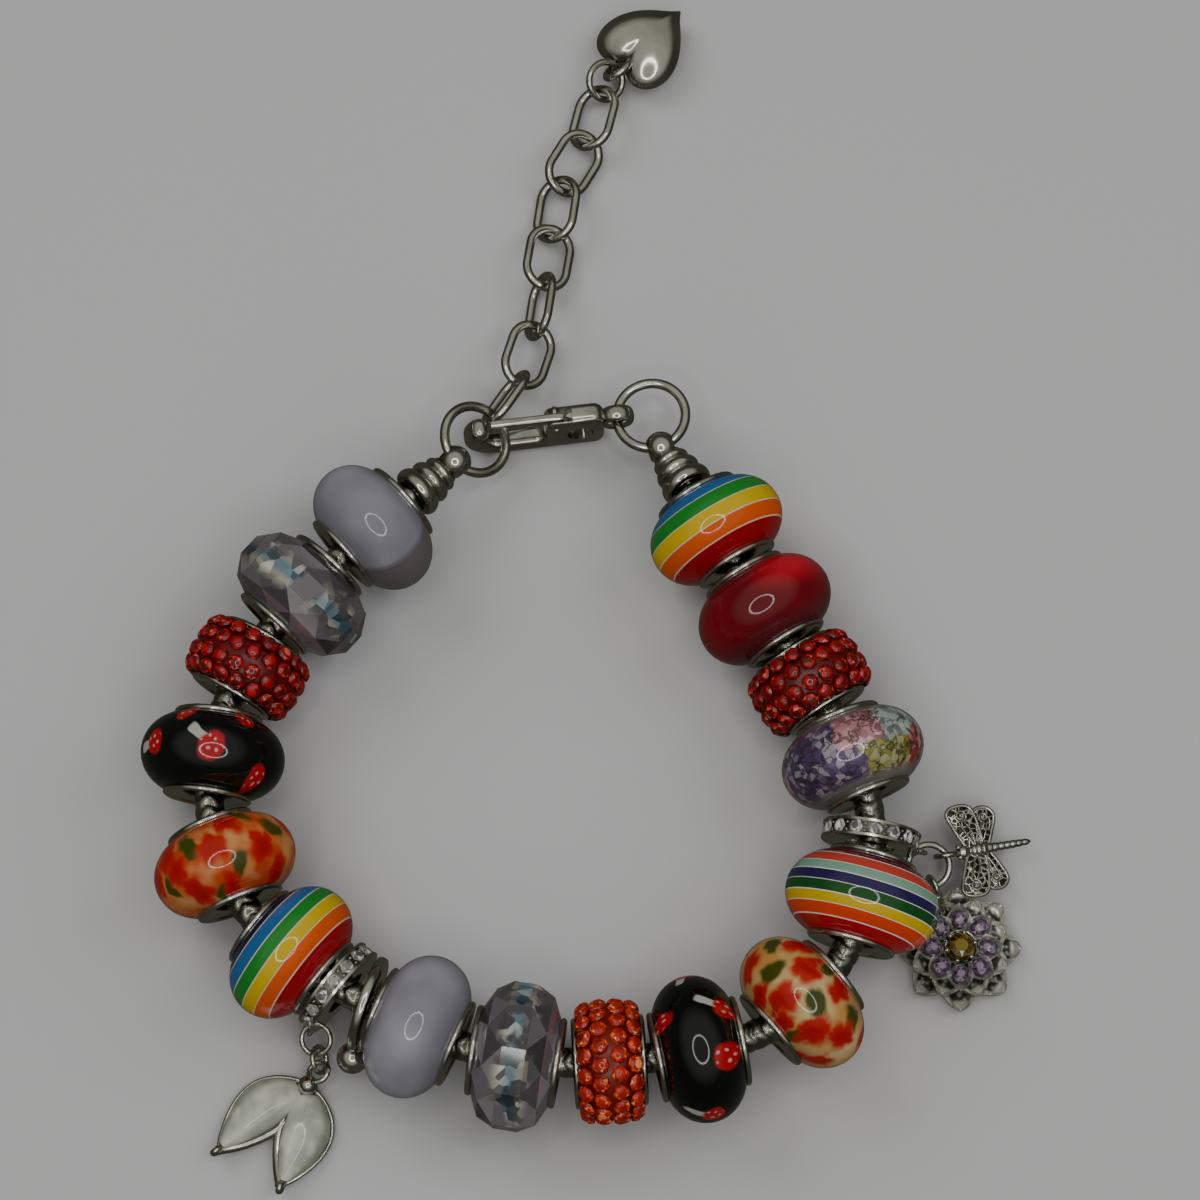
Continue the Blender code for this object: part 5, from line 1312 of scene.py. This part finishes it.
def eye(centre, axis, neck):
    """A small closed loop of wire about an axis, made square to the neck that it grows from."""
    square = axis - neck * (axis @ neck)
    return torus(EYE_OUTSIDE, EYE_WIRE, 40, 14).at(centre, axes(square, SLANT))


def below_level(turn, degrees):
    """The way from a ring's middle to its hanging eye: outwards, and below level by some degrees."""
    drop = math.radians(degrees)
    return turn[1] * math.cos(drop) - turn[0] * math.sin(drop)


def set_band():
    """The spacer without its eye: a grooved band, its dark channel, and clear stones with grains."""
    outer, half, floor = SPACER_DIAMETER / 2, SPACER_WIDTH / 2, SPACER_DIAMETER / 2 - SPACER_GROOVE
    inside, bevel = half - SPACER_RIM, 0.06 * MM
    side = [(outer - bevel, half), (outer, half - bevel), (outer, inside), (floor, inside)]
    outline = side + [(r, -z) for r, z in side[::-1]] + [(SPACER_BORE, -half), (SPACER_BORE, half)]
    top, bottom, edge = floor + 0.02 * MM, floor - 0.2 * MM, inside - 0.01 * MM
    channel = lathe([(top, edge), (top, -edge), (bottom, -edge), (bottom, edge)], 72).finished(1)
    angle = 2 * np.pi * np.arange(SPACER_STONES) / SPACER_STONES
    out = spokes(angle)
    round_way = np.cross(UP, out)
    turns = np.stack([round_way, np.cross(out, round_way), out], 1)
    stone = cut_stone(1.45 * MM, 0.18, 0.5, 6)
    stones = stone.copies(out * (floor + 0.08 * MM), turns, rng.random(SPACER_STONES)).finished(2)
    between = spokes(angle + np.pi / SPACER_STONES) * (floor + 0.1 * MM)
    spots = np.concatenate([between + UP * GRAIN_APART, between - UP * GRAIN_APART])
    grains = ball(0.34 * MM, 10, 7).copies(spots, np.tile(np.eye(3), (len(spots), 1, 1)))
    return together(lathe(outline, 96), channel, stones, grains)


EYES = {}
for name, (middle, way, drop, hung) in SPACERS.items():
    turn = axes(heading(way))
    hanging = below_level(turn, drop)
    eye_middle = middle + hanging * (SPACER_DIAMETER / 2 - SPACER_GROOVE + EYE_HOLE / 2 + EYE_WIRE * 0.45)
    EYES[name] = eye_middle
    ring_middle, _ = ring_frame(hung)
    axis = turn[2] + np.cross(UP, unit(ring_middle - eye_middle))
    made = together(set_band().at(middle, turn), eye(eye_middle, axis, hanging))
    piece(name, made, [SILVER, DARK_SILVER, CLEAR_STONES], crease=30)
print("spacers:", len(SPACERS))

# %% Ball bail
BAIL_MIDDLE = np.array([-21.21, -44.486, 5.9]) * MM
BAIL_HEADING = -19.13
BAIL_DROP = 35
BAIL_BALL = 3.1 * MM
BAIL_REACH = 6.1 * MM
BAIL_OUTLINE = ((4.5, 0.55), (4.7, 0.2), (4.7, -0.2), (4.5, -0.55), (2.4, -0.55), (2.4, 0.55))
turn = axes(heading(BAIL_HEADING))
bail = lathe(eased(np.array(BAIL_OUTLINE) * MM, 2), 96)
hanging = below_level(turn, BAIL_DROP)
ball_middle = BAIL_MIDDLE + hanging * BAIL_REACH
neck_path = BAIL_MIDDLE + hanging * np.linspace(4.3 * MM, BAIL_REACH, 12)[:, None]
neck = tube(neck_path, np.linspace(0.95, 0.62, 12) * MM, turn[2])
bail_ball = ball(BAIL_BALL, 40, 21).at(ball_middle, turn)
piece("ball_bail", together(bail.at(BAIL_MIDDLE, turn), neck, bail_ball), [SILVER])
print("bail's ball at", np.round(ball_middle / MM, 1))

# %% [markdown]
# ## Lobster clasp
#
# The clasp stands on its edge: a hook that is one thick rounded bar, a block with a slot for the
# lever and a window, and a bail loop on the ring. Hook and block are one plate, drawn as an outline
# of arcs and given rounded edges; the slot and the window are cut out with Booleans, because a hole
# through two walls is hard to lay out as a grid. The lever turns on the joint's axis, so its
# drawing has that axis as its origin.

# %% Clasp body
CLASP_LENGTH = 14.3
CLASP_HEIGHT = 6.8
CLASP_THICKNESS = 2.3
HOOK_BAR = 1.9
HOOK_END = -224
BLOCK_START = 8.2
BLOCK_ROUND = 1.1
INNER_ROUND = 0.9
PIVOT_X = 9.4
PIVOT_Y = 5.6
LOOP_X = 15.632
LOOP_Y = 4.25
LOOP_RADIUS = 1.375
CLASP_CREASE = 35
joint = next(j for j in frame["joints"] if j["name"] == "clasp_lever_hinge")
pivot = np.array(joint["pos_m"], float)
clasp_z = unit(np.array(joint["axis"], float))
clasp_x = np.cross(UP, clasp_z)
CLASP_TURN = np.array([clasp_x, UP, clasp_z])
clasp_start = pivot - clasp_x * PIVOT_X * MM - UP * PIVOT_Y * MM

nose = CLASP_HEIGHT / 2
inner = nose - HOOK_BAR
tip = np.radians(HOOK_END)
across = np.array([math.cos(tip), math.sin(tip)])
beyond = np.array([math.sin(tip), -math.cos(tip)])
t = np.linspace(0, np.pi, 12)[1:-1, None]
half_bar = HOOK_BAR / 2
tip_round = nose + across * (nose - half_bar + half_bar * np.cos(t)) + beyond * half_bar * np.sin(t)
far = CLASP_LENGTH - BLOCK_ROUND
outline = np.concatenate([
    arc(far, BLOCK_ROUND, BLOCK_ROUND, 0, -90, 10),
    arc(nose, nose, nose, -90, HOOK_END, 48),
    tip_round,
    arc(nose, nose, inner, HOOK_END, -90, 40),
    arc(BLOCK_START - INNER_ROUND, HOOK_BAR + INNER_ROUND, INNER_ROUND, -90, 0, 10),
    arc(BLOCK_START + INNER_ROUND, CLASP_HEIGHT - INNER_ROUND, INNER_ROUND, 180, 90, 8),
    arc(far, CLASP_HEIGHT - BLOCK_ROUND, BLOCK_ROUND, 90, 0, 10)])
hook_and_block = plate(outline * MM, CLASP_THICKNESS * MM, 0.84 * MM, 7)


def box_shape(low, high):
    """A box between two corners, as two square rings and two lids."""
    (x0, y0, z0), (x1, y1, z1) = low, high
    ring = [(x0, y0), (x1, y0), (x1, y1), (x0, y1)]
    points = np.array([[(x, y, z) for x, y in ring] for z in (z0, z1)]) * MM
    made = grid(points)
    made.blocks += [(4 * k + np.arange(4)[None], np.zeros((1, 4, 2)), False, 0) for k in (0, 1)]
    return made


def rod(x, y, depths, radius):
    """A round rod across the clasp, through the given depths, in mm."""
    return tube(np.array([(x, y, z) for z in depths]) * MM, radius * MM, NORTH)


slot = box_shape((BLOCK_START - 1.0, HOOK_BAR + 1.3, -0.75), (BLOCK_START + 2.9, CLASP_HEIGHT + 1.0, 0.75))
window_outline = eased(np.array([(10.5, 2.1), (13.1, 2.1), (13.1, 5.2), (10.5, 5.2)]), 2)
window = plate(window_outline * MM, 4.6 * MM, 0.01 * MM, 2)
t = 2 * np.pi * np.arange(28) / 28
loop = lathe(np.stack([LOOP_RADIUS + 0.42 * np.cos(t), 0.84 * np.sin(t)], -1) * MM, 64)
loop = loop.at(np.array([LOOP_X, LOOP_Y, 0]) * MM)
pin = rod(PIVOT_X, PIVOT_Y, (-1.08, -0.5, 0.5, 1.08), 0.36)
clasp = [part.at(clasp_start, CLASP_TURN) for part in (hook_and_block, slot, window)]
body = piece("clasp_body", clasp[0], [SILVER], cutters=clasp[1:], crease=CLASP_CREASE)
extra = mesh_from("clasp_fittings", together(loop, pin).at(clasp_start, CLASP_TURN))
joined = bmesh.new()
joined.from_mesh(body.data)
joined.from_mesh(extra)
joined.to_mesh(body.data)
joined.free()
body.data.set_sharp_from_angle(angle=math.radians(CLASP_CREASE))
print("clasp faces:", len(body.data.polygons))

# %% The lever, drawn round its pin

top = CLASP_HEIGHT - 0.25 - PIVOT_Y
under = top - 1.1
reach = PIVOT_X - nose + 0.8
lever_outline = np.concatenate([
    [(-reach, top - 0.25), (-reach - 0.05, under + 0.35), (-reach + 0.25, under), (-2.4, under),
     (-1.2, under - 0.1)],
    arc(0, 0, 1.0, 215, 330, 12),
    [(1.0, under + 0.3), (0.75, top - 0.1), (0.4, top), (-1.5, top), (-reach + 0.3, top)]])
lever = plate(lever_outline * MM, 0.86 * MM, 0.22 * MM, 4).at(pivot, CLASP_TURN)
bore = rod(0, 0, (-1.5, -0.5, 0.5, 1.5), 0.5).at(pivot, CLASP_TURN)
lever_piece = piece("clasp_lever", lever, [SILVER], body="clasp_lever", cutters=[bore], crease=CLASP_CREASE)
print("lever faces:", len(lever_piece.data.polygons))

# %% [markdown]
# ## Heart
#
# The puffed heart is a ball whose points are lifted by the root of their distance from the middle
# line: the root rises steeply near zero, and that makes the cleft. It hangs from its jump ring by
# an eye of wire in the cleft.

# %% Heart
HEART_MIDDLE = np.array([5.97, 57.528, 2.1]) * MM
HEART_TURN = np.array([[-0.6947, 0.7193, 0.0], [-0.7193, -0.6947, 0.0], UP])
HEART_SIZE = np.array([9.0, 9.4, 4.2]) * MM
HEART_EYE = 3.84 * MM
HEART_WIRE = 0.8 * MM
HEART_HANG = 1.95 * MM
u, v = np.meshgrid(np.linspace(-np.pi / 2, np.pi / 2, 49), 2 * np.pi * np.arange(96) / 96, indexing="ij")
x, y, z = np.sin(u), np.cos(u) * np.sin(v), np.cos(u) * np.cos(v)
lift = 0.72 * (x**2 + 0.0004) ** 0.25 * (1 - 0.3 * np.abs(z))
heart_points = np.stack([x / 2, (y + lift - 0.3) / 2.25, z / 2], -1) * HEART_SIZE
ring_middle, found = ring_frame("heart_ring")
normal = found[2] * np.sign(found[2][2])
out = heading(44, 4)
flat = unit(out - normal * (out @ normal))
heart_eye = torus(HEART_EYE, HEART_WIRE, 48, 18)
heart_eye = heart_eye.at(ring_middle + flat * HEART_HANG, axes(np.cross(flat, normal), SLANT))
piece("heart", together(grid(heart_points).at(HEART_MIDDLE, HEART_TURN), heart_eye), [SILVER], crease=70)

# %% [markdown]
# ## Dragonfly
#
# The dragonfly is cast flat: a bead-like head, a ringed body that tapers to the tail, and four
# wings of raised wire over a dark recess, with scrolls near their tips. The ringed body is a turned
# outline whose radius swells between rings, and a scroll is a tube along a spiral.

# %% Dragonfly
DRAGONFLY_START = np.array([34.929, -29.518, 2.829]) * MM
DRAGONFLY_WAY = unit(np.array([0.9695, 0.1885, -0.1564]))
DRAGONFLY_LENGTH = 8.8
WING_REACH = 4.5
WING_TILT = 0.06
RIM_WIRE = 0.2
SCROLL_WIRE = 0.13
VEIN_WIRE = 0.11
RING_START = 2.3
RING_PITCH = 0.62
WINGS = (
    ((0.26, 0.05), (0.12, 0.6), (0.09, 0.88), (0.2, 1.0), (0.36, 0.94), (0.42, 0.55), (0.42, 0.05)),
    ((0.34, 0.05), (0.36, 0.5), (0.4, 0.84), (0.54, 0.9), (0.63, 0.72), (0.58, 0.4), (0.48, 0.05)),
)
SCROLLS = (((0.235, 0.78), 0.62, 1), ((0.5, 0.68), 0.5, -1))
BODY = ((0.9, 0.0), (1.0, 0.35), (1.3, 0.68), (1.75, 0.76), (2.15, 0.6), (2.4, 0.5), (2.9, 0.8), (3.7, 0.86),
        (4.3, 0.55), (5.2, 0.42), (7.0, 0.40), (8.5, 0.30), (DRAGONFLY_LENGTH, 0.0))
side_way = unit(np.cross(UP, DRAGONFLY_WAY))
DRAGONFLY_TURN = np.array([DRAGONFLY_WAY, side_way, np.cross(DRAGONFLY_WAY, side_way)])


def spiral(centre, radius, sense, start, turns=1.6, count=40):
    """A flat scroll: the radius shrinks evenly to a quarter as the angle runs round."""
    t = np.linspace(0, 1, count)
    angle = math.radians(start) + sense * 2 * np.pi * turns * t
    size = radius * (1 - 0.78 * t)
    return np.stack([centre[0] + size * np.cos(angle), centre[1] + size * np.sin(angle), 0.25 + 0.15 * t], -1)


def wing(outline, scroll, side, lift):
    """A rim of wire round a thin dark plate, with a scroll and two veins on it, in mm."""
    flat = np.array(outline) * [DRAGONFLY_LENGTH, side * WING_REACH]
    edge = flowing(flat, 64, closed=True)
    rim = tube(np.concatenate([edge, np.full((64, 1), 0.05)], 1), RIM_WIRE, closed=True, sides=12)
    back = plate(edge, 0.36, 0.05, 2).finished(1)
    (share_along, share_out), radius, sense = scroll
    centre = np.array([share_along * DRAGONFLY_LENGTH, side * share_out * WING_REACH])
    curl = tube(spiral(centre, radius, sense * side, -90 * side), SCROLL_WIRE, sides=10)
    root = (flat[0] + flat[-1]) / 2
    veins = []
    for bend in (-0.3, 0.32):
        halfway = root * 0.55 + centre * 0.45 + [bend, 0]
        end = centre + [bend, -side * radius]
        path = flowing([(*root, 0.2), (*halfway, 0.34), (*end, 0.26)], 16)
        veins.append(tube(path, VEIN_WIRE, sides=8))
    made = together(rim, back, curl, *veins, ball(0.42, 12, 9).at([*centre, 0.32]))
    return made.at([0, 0, lift], axes(UP - math.tan(side * WING_TILT) * NORTH, EAST))


along = np.linspace(BODY[0][0], DRAGONFLY_LENGTH, 160)
envelope = np.interp(along, *np.transpose(BODY))
ringed = np.abs(np.sin(np.pi * (along - RING_START) / RING_PITCH)) ** 0.6
ringed = np.where(along > RING_START, ringed, 1)
body_outline = np.stack([envelope * (0.80 + 0.20 * ringed), along], -1)
body_shape = lathe(body_outline, 32, closed=False).at(np.zeros(3), axes(EAST))
eyes = [ball(0.55, 14, 9).at([1.25, side * 0.5, 0.25]) for side in (1, -1)]
wings = [wing(WINGS[k], SCROLLS[k], side, 0.12 - 0.2 * k) for k in (0, 1) for side in (1, -1)]
flyer = together(body_shape, *eyes, *wings).times(MM).at(DRAGONFLY_START, DRAGONFLY_TURN)
charm_ring, found = ring_frame("charm_ring_right")
tangent = unit(np.cross(found[2], DRAGONFLY_START - charm_ring))
flyer = together(flyer, eye(DRAGONFLY_START, tangent, DRAGONFLY_WAY))
piece("dragonfly", flyer, [CAST_SILVER, FILIGREE], crease=50)
print("dragonfly wings:", len(wings))

# %% [markdown]
# ## Lotus
#
# The lotus is cast in three layers of pointed petals, each dished between bright raised rims, with
# dark oxide left in the dish and painted highlights in its hammered dimples. A petal is a grid: its
# width is a rounded leaf outline, and its height has a dish across, a rim along both edges and a tilt.
# The mask for the oxide is the place across the petal, so the bright rim follows every petal exactly.
# Small violet stones sit on the inner petals, and a larger amber one in the cup, held by six prongs.
# The charm is drawn in millimetres.

# %% Lotus
LOTUS_MIDDLE = np.array(frame["record"]["mounts"][0]["pos_m"], float) * [1, 1, 0]
LOTUS_RADIUS = 6.1
LOTUS_BASE = 0.9
PETALS = 8
RIM_HEIGHT = 0.26
VIOLET_PLACE = 2.68
VIOLET_HEIGHT = 2.5
VIOLET_LEAN = 20
AMBER_HEIGHT = 3.0
PRONGS = 6
# Each row: its inner and outer end as shares of the radius, half a petal's width, height, rise, turn.
LOTUS_ROWS = (
    (0.36, 1.0, 2.05, 0.50, 0.75, 0.0),
    (0.26, 0.82, 1.80, 1.00, 0.90, 0.5),
    (0.18, 0.70, 1.42, 1.45, 0.85, 0.0),
)

DISHED, tree, shader = new_material("dished_silver", (0.6, 0.6, 0.56), 0.2, 0.75)
across, along_leaf = surface_place(tree)
off_rim = ranged(tree, away_from(tree, across, 0.5), 0.275, 0.36, 1.0, 0.0)
recess = sums(tree, "MULTIPLY", off_rim, ranged(tree, along_leaf, 0.68, 0.86, 1.0, 0.0))
# In the dish: oxide, with a painted highlight at the middle of each hammered dimple.
hammer = cells(tree, 2200.0, "SMOOTH_F1")[0]
dark = blended(tree, ranged(tree, hammer, 0.1, 0.5), (0.30, 0.30, 0.27, 1), (0.03, 0.03, 0.026, 1))
out = use(tree, worn, Clean=(0.86, 0.86, 0.80, 1), Tarnish=(0.62, 0.62, 0.56, 1),
          Low_Roughness=0.16, High_Roughness=0.3)
dye(tree, shader, blended(tree, recess, out["Color"], dark))
rougher = sums(tree, "ADD", out["Roughness"], sums(tree, "MULTIPLY", recess, 0.15))
tree.links.new(rougher, shader.inputs["Roughness"])
relief(tree, shader, sums(tree, "MULTIPLY", hammer, recess), 0.6, 0.08 * MM)


def lotus_petal(length, half, rise):
    """A pointed dish: width (1-u)^0.75 (u+0.3)^0.6, height a dish v^2, a rim near |v| = 1 and a tilt."""
    u, v = np.meshgrid(np.linspace(0, 1, 22), np.linspace(-1, 1, 17), indexing="ij")
    width = (1 - u) ** 0.75 * (u + 0.3) ** 0.6
    width = half * width / width.max()
    tip_rim = 1 / (1 + np.exp(-(u - 0.88) * 40))
    rim = 1 / (1 + np.exp(-(np.abs(v) - 0.70) * 22))
    raised = RIM_HEIGHT * np.maximum(rim, tip_rim)
    top = np.stack([length * u, width * v, 0.14 * half * v**2 + raised + rise * u**1.3], -1)
    bottom = top * [1, 1, 0] + np.stack([0 * u, 0 * u, rise * u**1.3 - 0.3], -1)
    return shell(top, bottom, np.stack([(v + 1) / 2, u], -1))


def round_about(shape, radius, height, turn, count=PETALS):
    """Copies of a shape set out round Z, each at a radius and a height."""
    out = spokes(2 * np.pi * (np.arange(count) + turn) / count)
    turns = np.stack([out, np.cross(UP, out), np.tile(UP, (count, 1))], 1)
    return shape.copies(out * radius + UP * height, turns)


layers = []
for inner, outer, half, height, rise, turn in LOTUS_ROWS:
    petal = lotus_petal((outer - inner) * LOTUS_RADIUS, half, rise)
    layers.append(round_about(petal, inner * LOTUS_RADIUS, height, turn).finished(1))
base = lathe(eased(np.array([(0.001, 0), (3.78, 0), (3.78, LOTUS_BASE), (0.001, LOTUS_BASE)]), 1), 64)
cup = lathe([(0.001, 0.5), (1.6, 0.5), (1.7, 2.4), (1.69, 2.6), (1.62, 2.74), (1.53, 2.7), (1.47, 2.5),
             (1.45, 2.2), (0.001, 2.2)], 64)
oval_stone = cut_stone(1.8, 0.18, 0.4, 8).times([1.12, 1, 1])
oval_stone = oval_stone.at([0, 0, 0], axes(heading(180, 90 - VIOLET_LEAN), EAST))
violets = round_about(oval_stone, VIOLET_PLACE, VIOLET_HEIGHT, 0.0).finished(2)
prongs = round_about(ball(0.5, 14, 9), 1.42, 2.98, 0.25, PRONGS)
lotus = together(base, cup, prongs, *layers, violets).times(MM).at(LOTUS_MIDDLE)
drop = unit(charm_ring - EYES["spacer_right"])
ring_side = unit(np.cross(UP, drop))
turn_on_ring = math.radians(-32)
contact = charm_ring + 2.075 * MM * (math.cos(turn_on_ring) * drop + math.sin(turn_on_ring) * ring_side)
away = unit((LOTUS_MIDDLE - contact) * LEVEL)
tangent = math.cos(turn_on_ring) * ring_side - math.sin(turn_on_ring) * drop
start = contact + away * (EYE_HOLE + EYE_WIRE) / 2
end = LOTUS_MIDDLE + UP * 0.7 * LOTUS_BASE * MM - away * 3.3 * MM
neck = tube(start + (end - start) * np.linspace(0, 1, 8)[:, None], 0.55 * MM)
lotus = together(lotus, eye(contact, tangent, away), neck)
piece("lotus", lotus, [CAST_SILVER, DISHED, VIOLET_STONES])

tipped = axes(heading(70, 83), EAST)
stone = cut_stone(2.9, 0.2, 0.45, 10).times(MM).at(LOTUS_MIDDLE + UP * AMBER_HEIGHT * MM, tipped)
piece("lotus_stone", stone, [AMBER], crease=1)
print("lotus rows:", len(LOTUS_ROWS))

# %% [markdown]
# ## Tulip bud
#
# The bud has two enamelled petals in silver trays, whose rims run out into small curled tips. The
# petal's surface is one formula: narrow on its inner half and wide on its outer half, crowned
# across, and lifting at the tip. The tray, the rim wire and the enamel all use it, so they fit.
# The petals are drawn in millimetres, and each is then turned and laid at the bud's base.

# %% Tulip bud
TULIP_BASE = np.array([-27.139, -51.75, 0.5]) * MM
PETAL_LENGTH = 10.4
OUTER_HALF = 3.4
INNER_HALF = 1.6
OUTER_RIM = (1, 0.2, 0.05)
INNER_RIM = (-1, 0.45, 0.35)
TULIP_PETALS = {"petal_left": (216, 1.0, -1), "petal_right": (256, 0.94, 1)}

ENAMEL, tree, shader, colour = glass("pearly_enamel", (0.34, 0.36, 0.30), (0.54, 0.56, 0.48), 1.0, 500.0, 0.0)
across, _ = surface_place(tree)
# Painted shade: the enamel darkens towards the borders of each petal, beside its silver rims.
painted_edge_shade = sums(tree, "MULTIPLY", ranged(tree, away_from(tree, across, 0.5), 0.30, 0.44), 0.7)
dye(tree, shader, blended(tree, painted_edge_shade, colour, (0.13, 0.14, 0.11, 1)))


def petal_surface(u, v, length, side):
    """Width sin(pi u^0.85)^0.8, wider on the outer half; height (1 - v^2) across plus u^5 at the tip."""
    half = np.maximum(0.08, np.sin(np.pi * np.minimum(u, 1) ** 0.85) ** 0.8)
    half = half * np.where(v * side > 0, OUTER_HALF, INNER_HALF)
    crown = 1.5 * (1 - v * v) * np.clip(np.sin(np.pi * u), 0, 1) ** 0.6
    return np.stack([length * u, half * v, crown + 0.9 * u**5], -1)


def petal_shell(length, side, span_u, inner, outer, low, high):
    """A shell over the petal's surface, out to a share of its narrow half and one of its wide half."""
    ends = (-inner, outer) if side > 0 else (-outer, inner)
    u, v = np.meshgrid(np.linspace(*span_u, 40), np.linspace(*ends, 25), indexing="ij")
    skin = petal_surface(u, v, length, side)
    place = np.stack([(v + 1) / 2, u], -1)
    return shell(skin + UP * high, skin + UP * low, place)


def curled_tip(length):
    """A wire that leaves the petal's point and curls up and back, thinning as it goes."""
    t = np.linspace(0, 1, 30)
    angle = np.radians(-90 + 300 * t)
    size = 0.5 * (1 - 0.45 * t)
    path = np.stack([length + 0.1 + size * np.cos(angle), 0 * t, 1.35 + size * np.sin(angle)], -1)
    return tube(path, 0.42 * (1 - 0.5 * t), NORTH, sides=16)


setting = []
for name, (degrees, size, side) in TULIP_PETALS.items():
    length = PETAL_LENGTH * size
    turn = np.array([heading(degrees), heading(degrees + 90), UP])
    parts = [petal_shell(length, side, (0, 1), 1, 1, -0.5, 0)]
    edge_u = np.linspace(0.02, 1, 60)
    for edge, radius, height in (OUTER_RIM, INNER_RIM):
        path = petal_surface(edge_u, np.full(60, edge * side * 0.999), length, side) + UP * height
        parts.append(tube(path, radius, sides=12))
    setting.append(together(*parts, curled_tip(length)).times(MM).at(TULIP_BASE, turn))
    enamel = petal_shell(length, side, (0.08, 0.95), 0.78, 0.95, 0.06, 0.5)
    piece(name, enamel.times(MM).at(TULIP_BASE, turn), [ENAMEL], crease=50)

ring_2, found = ring_frame("charm_ring_left_2")
normal_2 = found[2] * np.sign(found[2][0])
way_2 = unit(np.array([0.2, -0.93, -0.25]))
flat = unit(way_2 - normal_2 * (way_2 @ normal_2))
place_on_ring = math.radians(-30)
turned = flat * math.cos(place_on_ring) + np.cross(normal_2, flat) * math.sin(place_on_ring)
contact = ring_2 + turned * 1.25 * MM
tulip_way = np.array([-0.62, -0.78, 0.0])
loop_axis = np.cross(turned, normal_2)
knob = contact + tulip_way * 1.6 * MM
low_knob = TULIP_BASE + tulip_way * 0.5 * MM + UP * 0.45 * MM
balls = [ball(1.9 * MM, 28, 15).at(spot) for spot in (knob, low_knob)]
piece("tulip_setting", together(*setting, *balls, eye(contact, loop_axis, tulip_way)), [SILVER], crease=50)
print("tulip petals:", len(TULIP_PETALS))

# %% [markdown]
# ## Sizes
#
# The box of the imported model and the box of what is seen now are printed side by side.

# %% Sizes and finish
VISUAL_BOX = [[float(number) for number in corner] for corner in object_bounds()]
for title, box in (("packed", CAD_BOX), ("seen", VISUAL_BOX)):
    print(title, "box in mm:", np.round(np.array(box) / MM, 2).tolist())
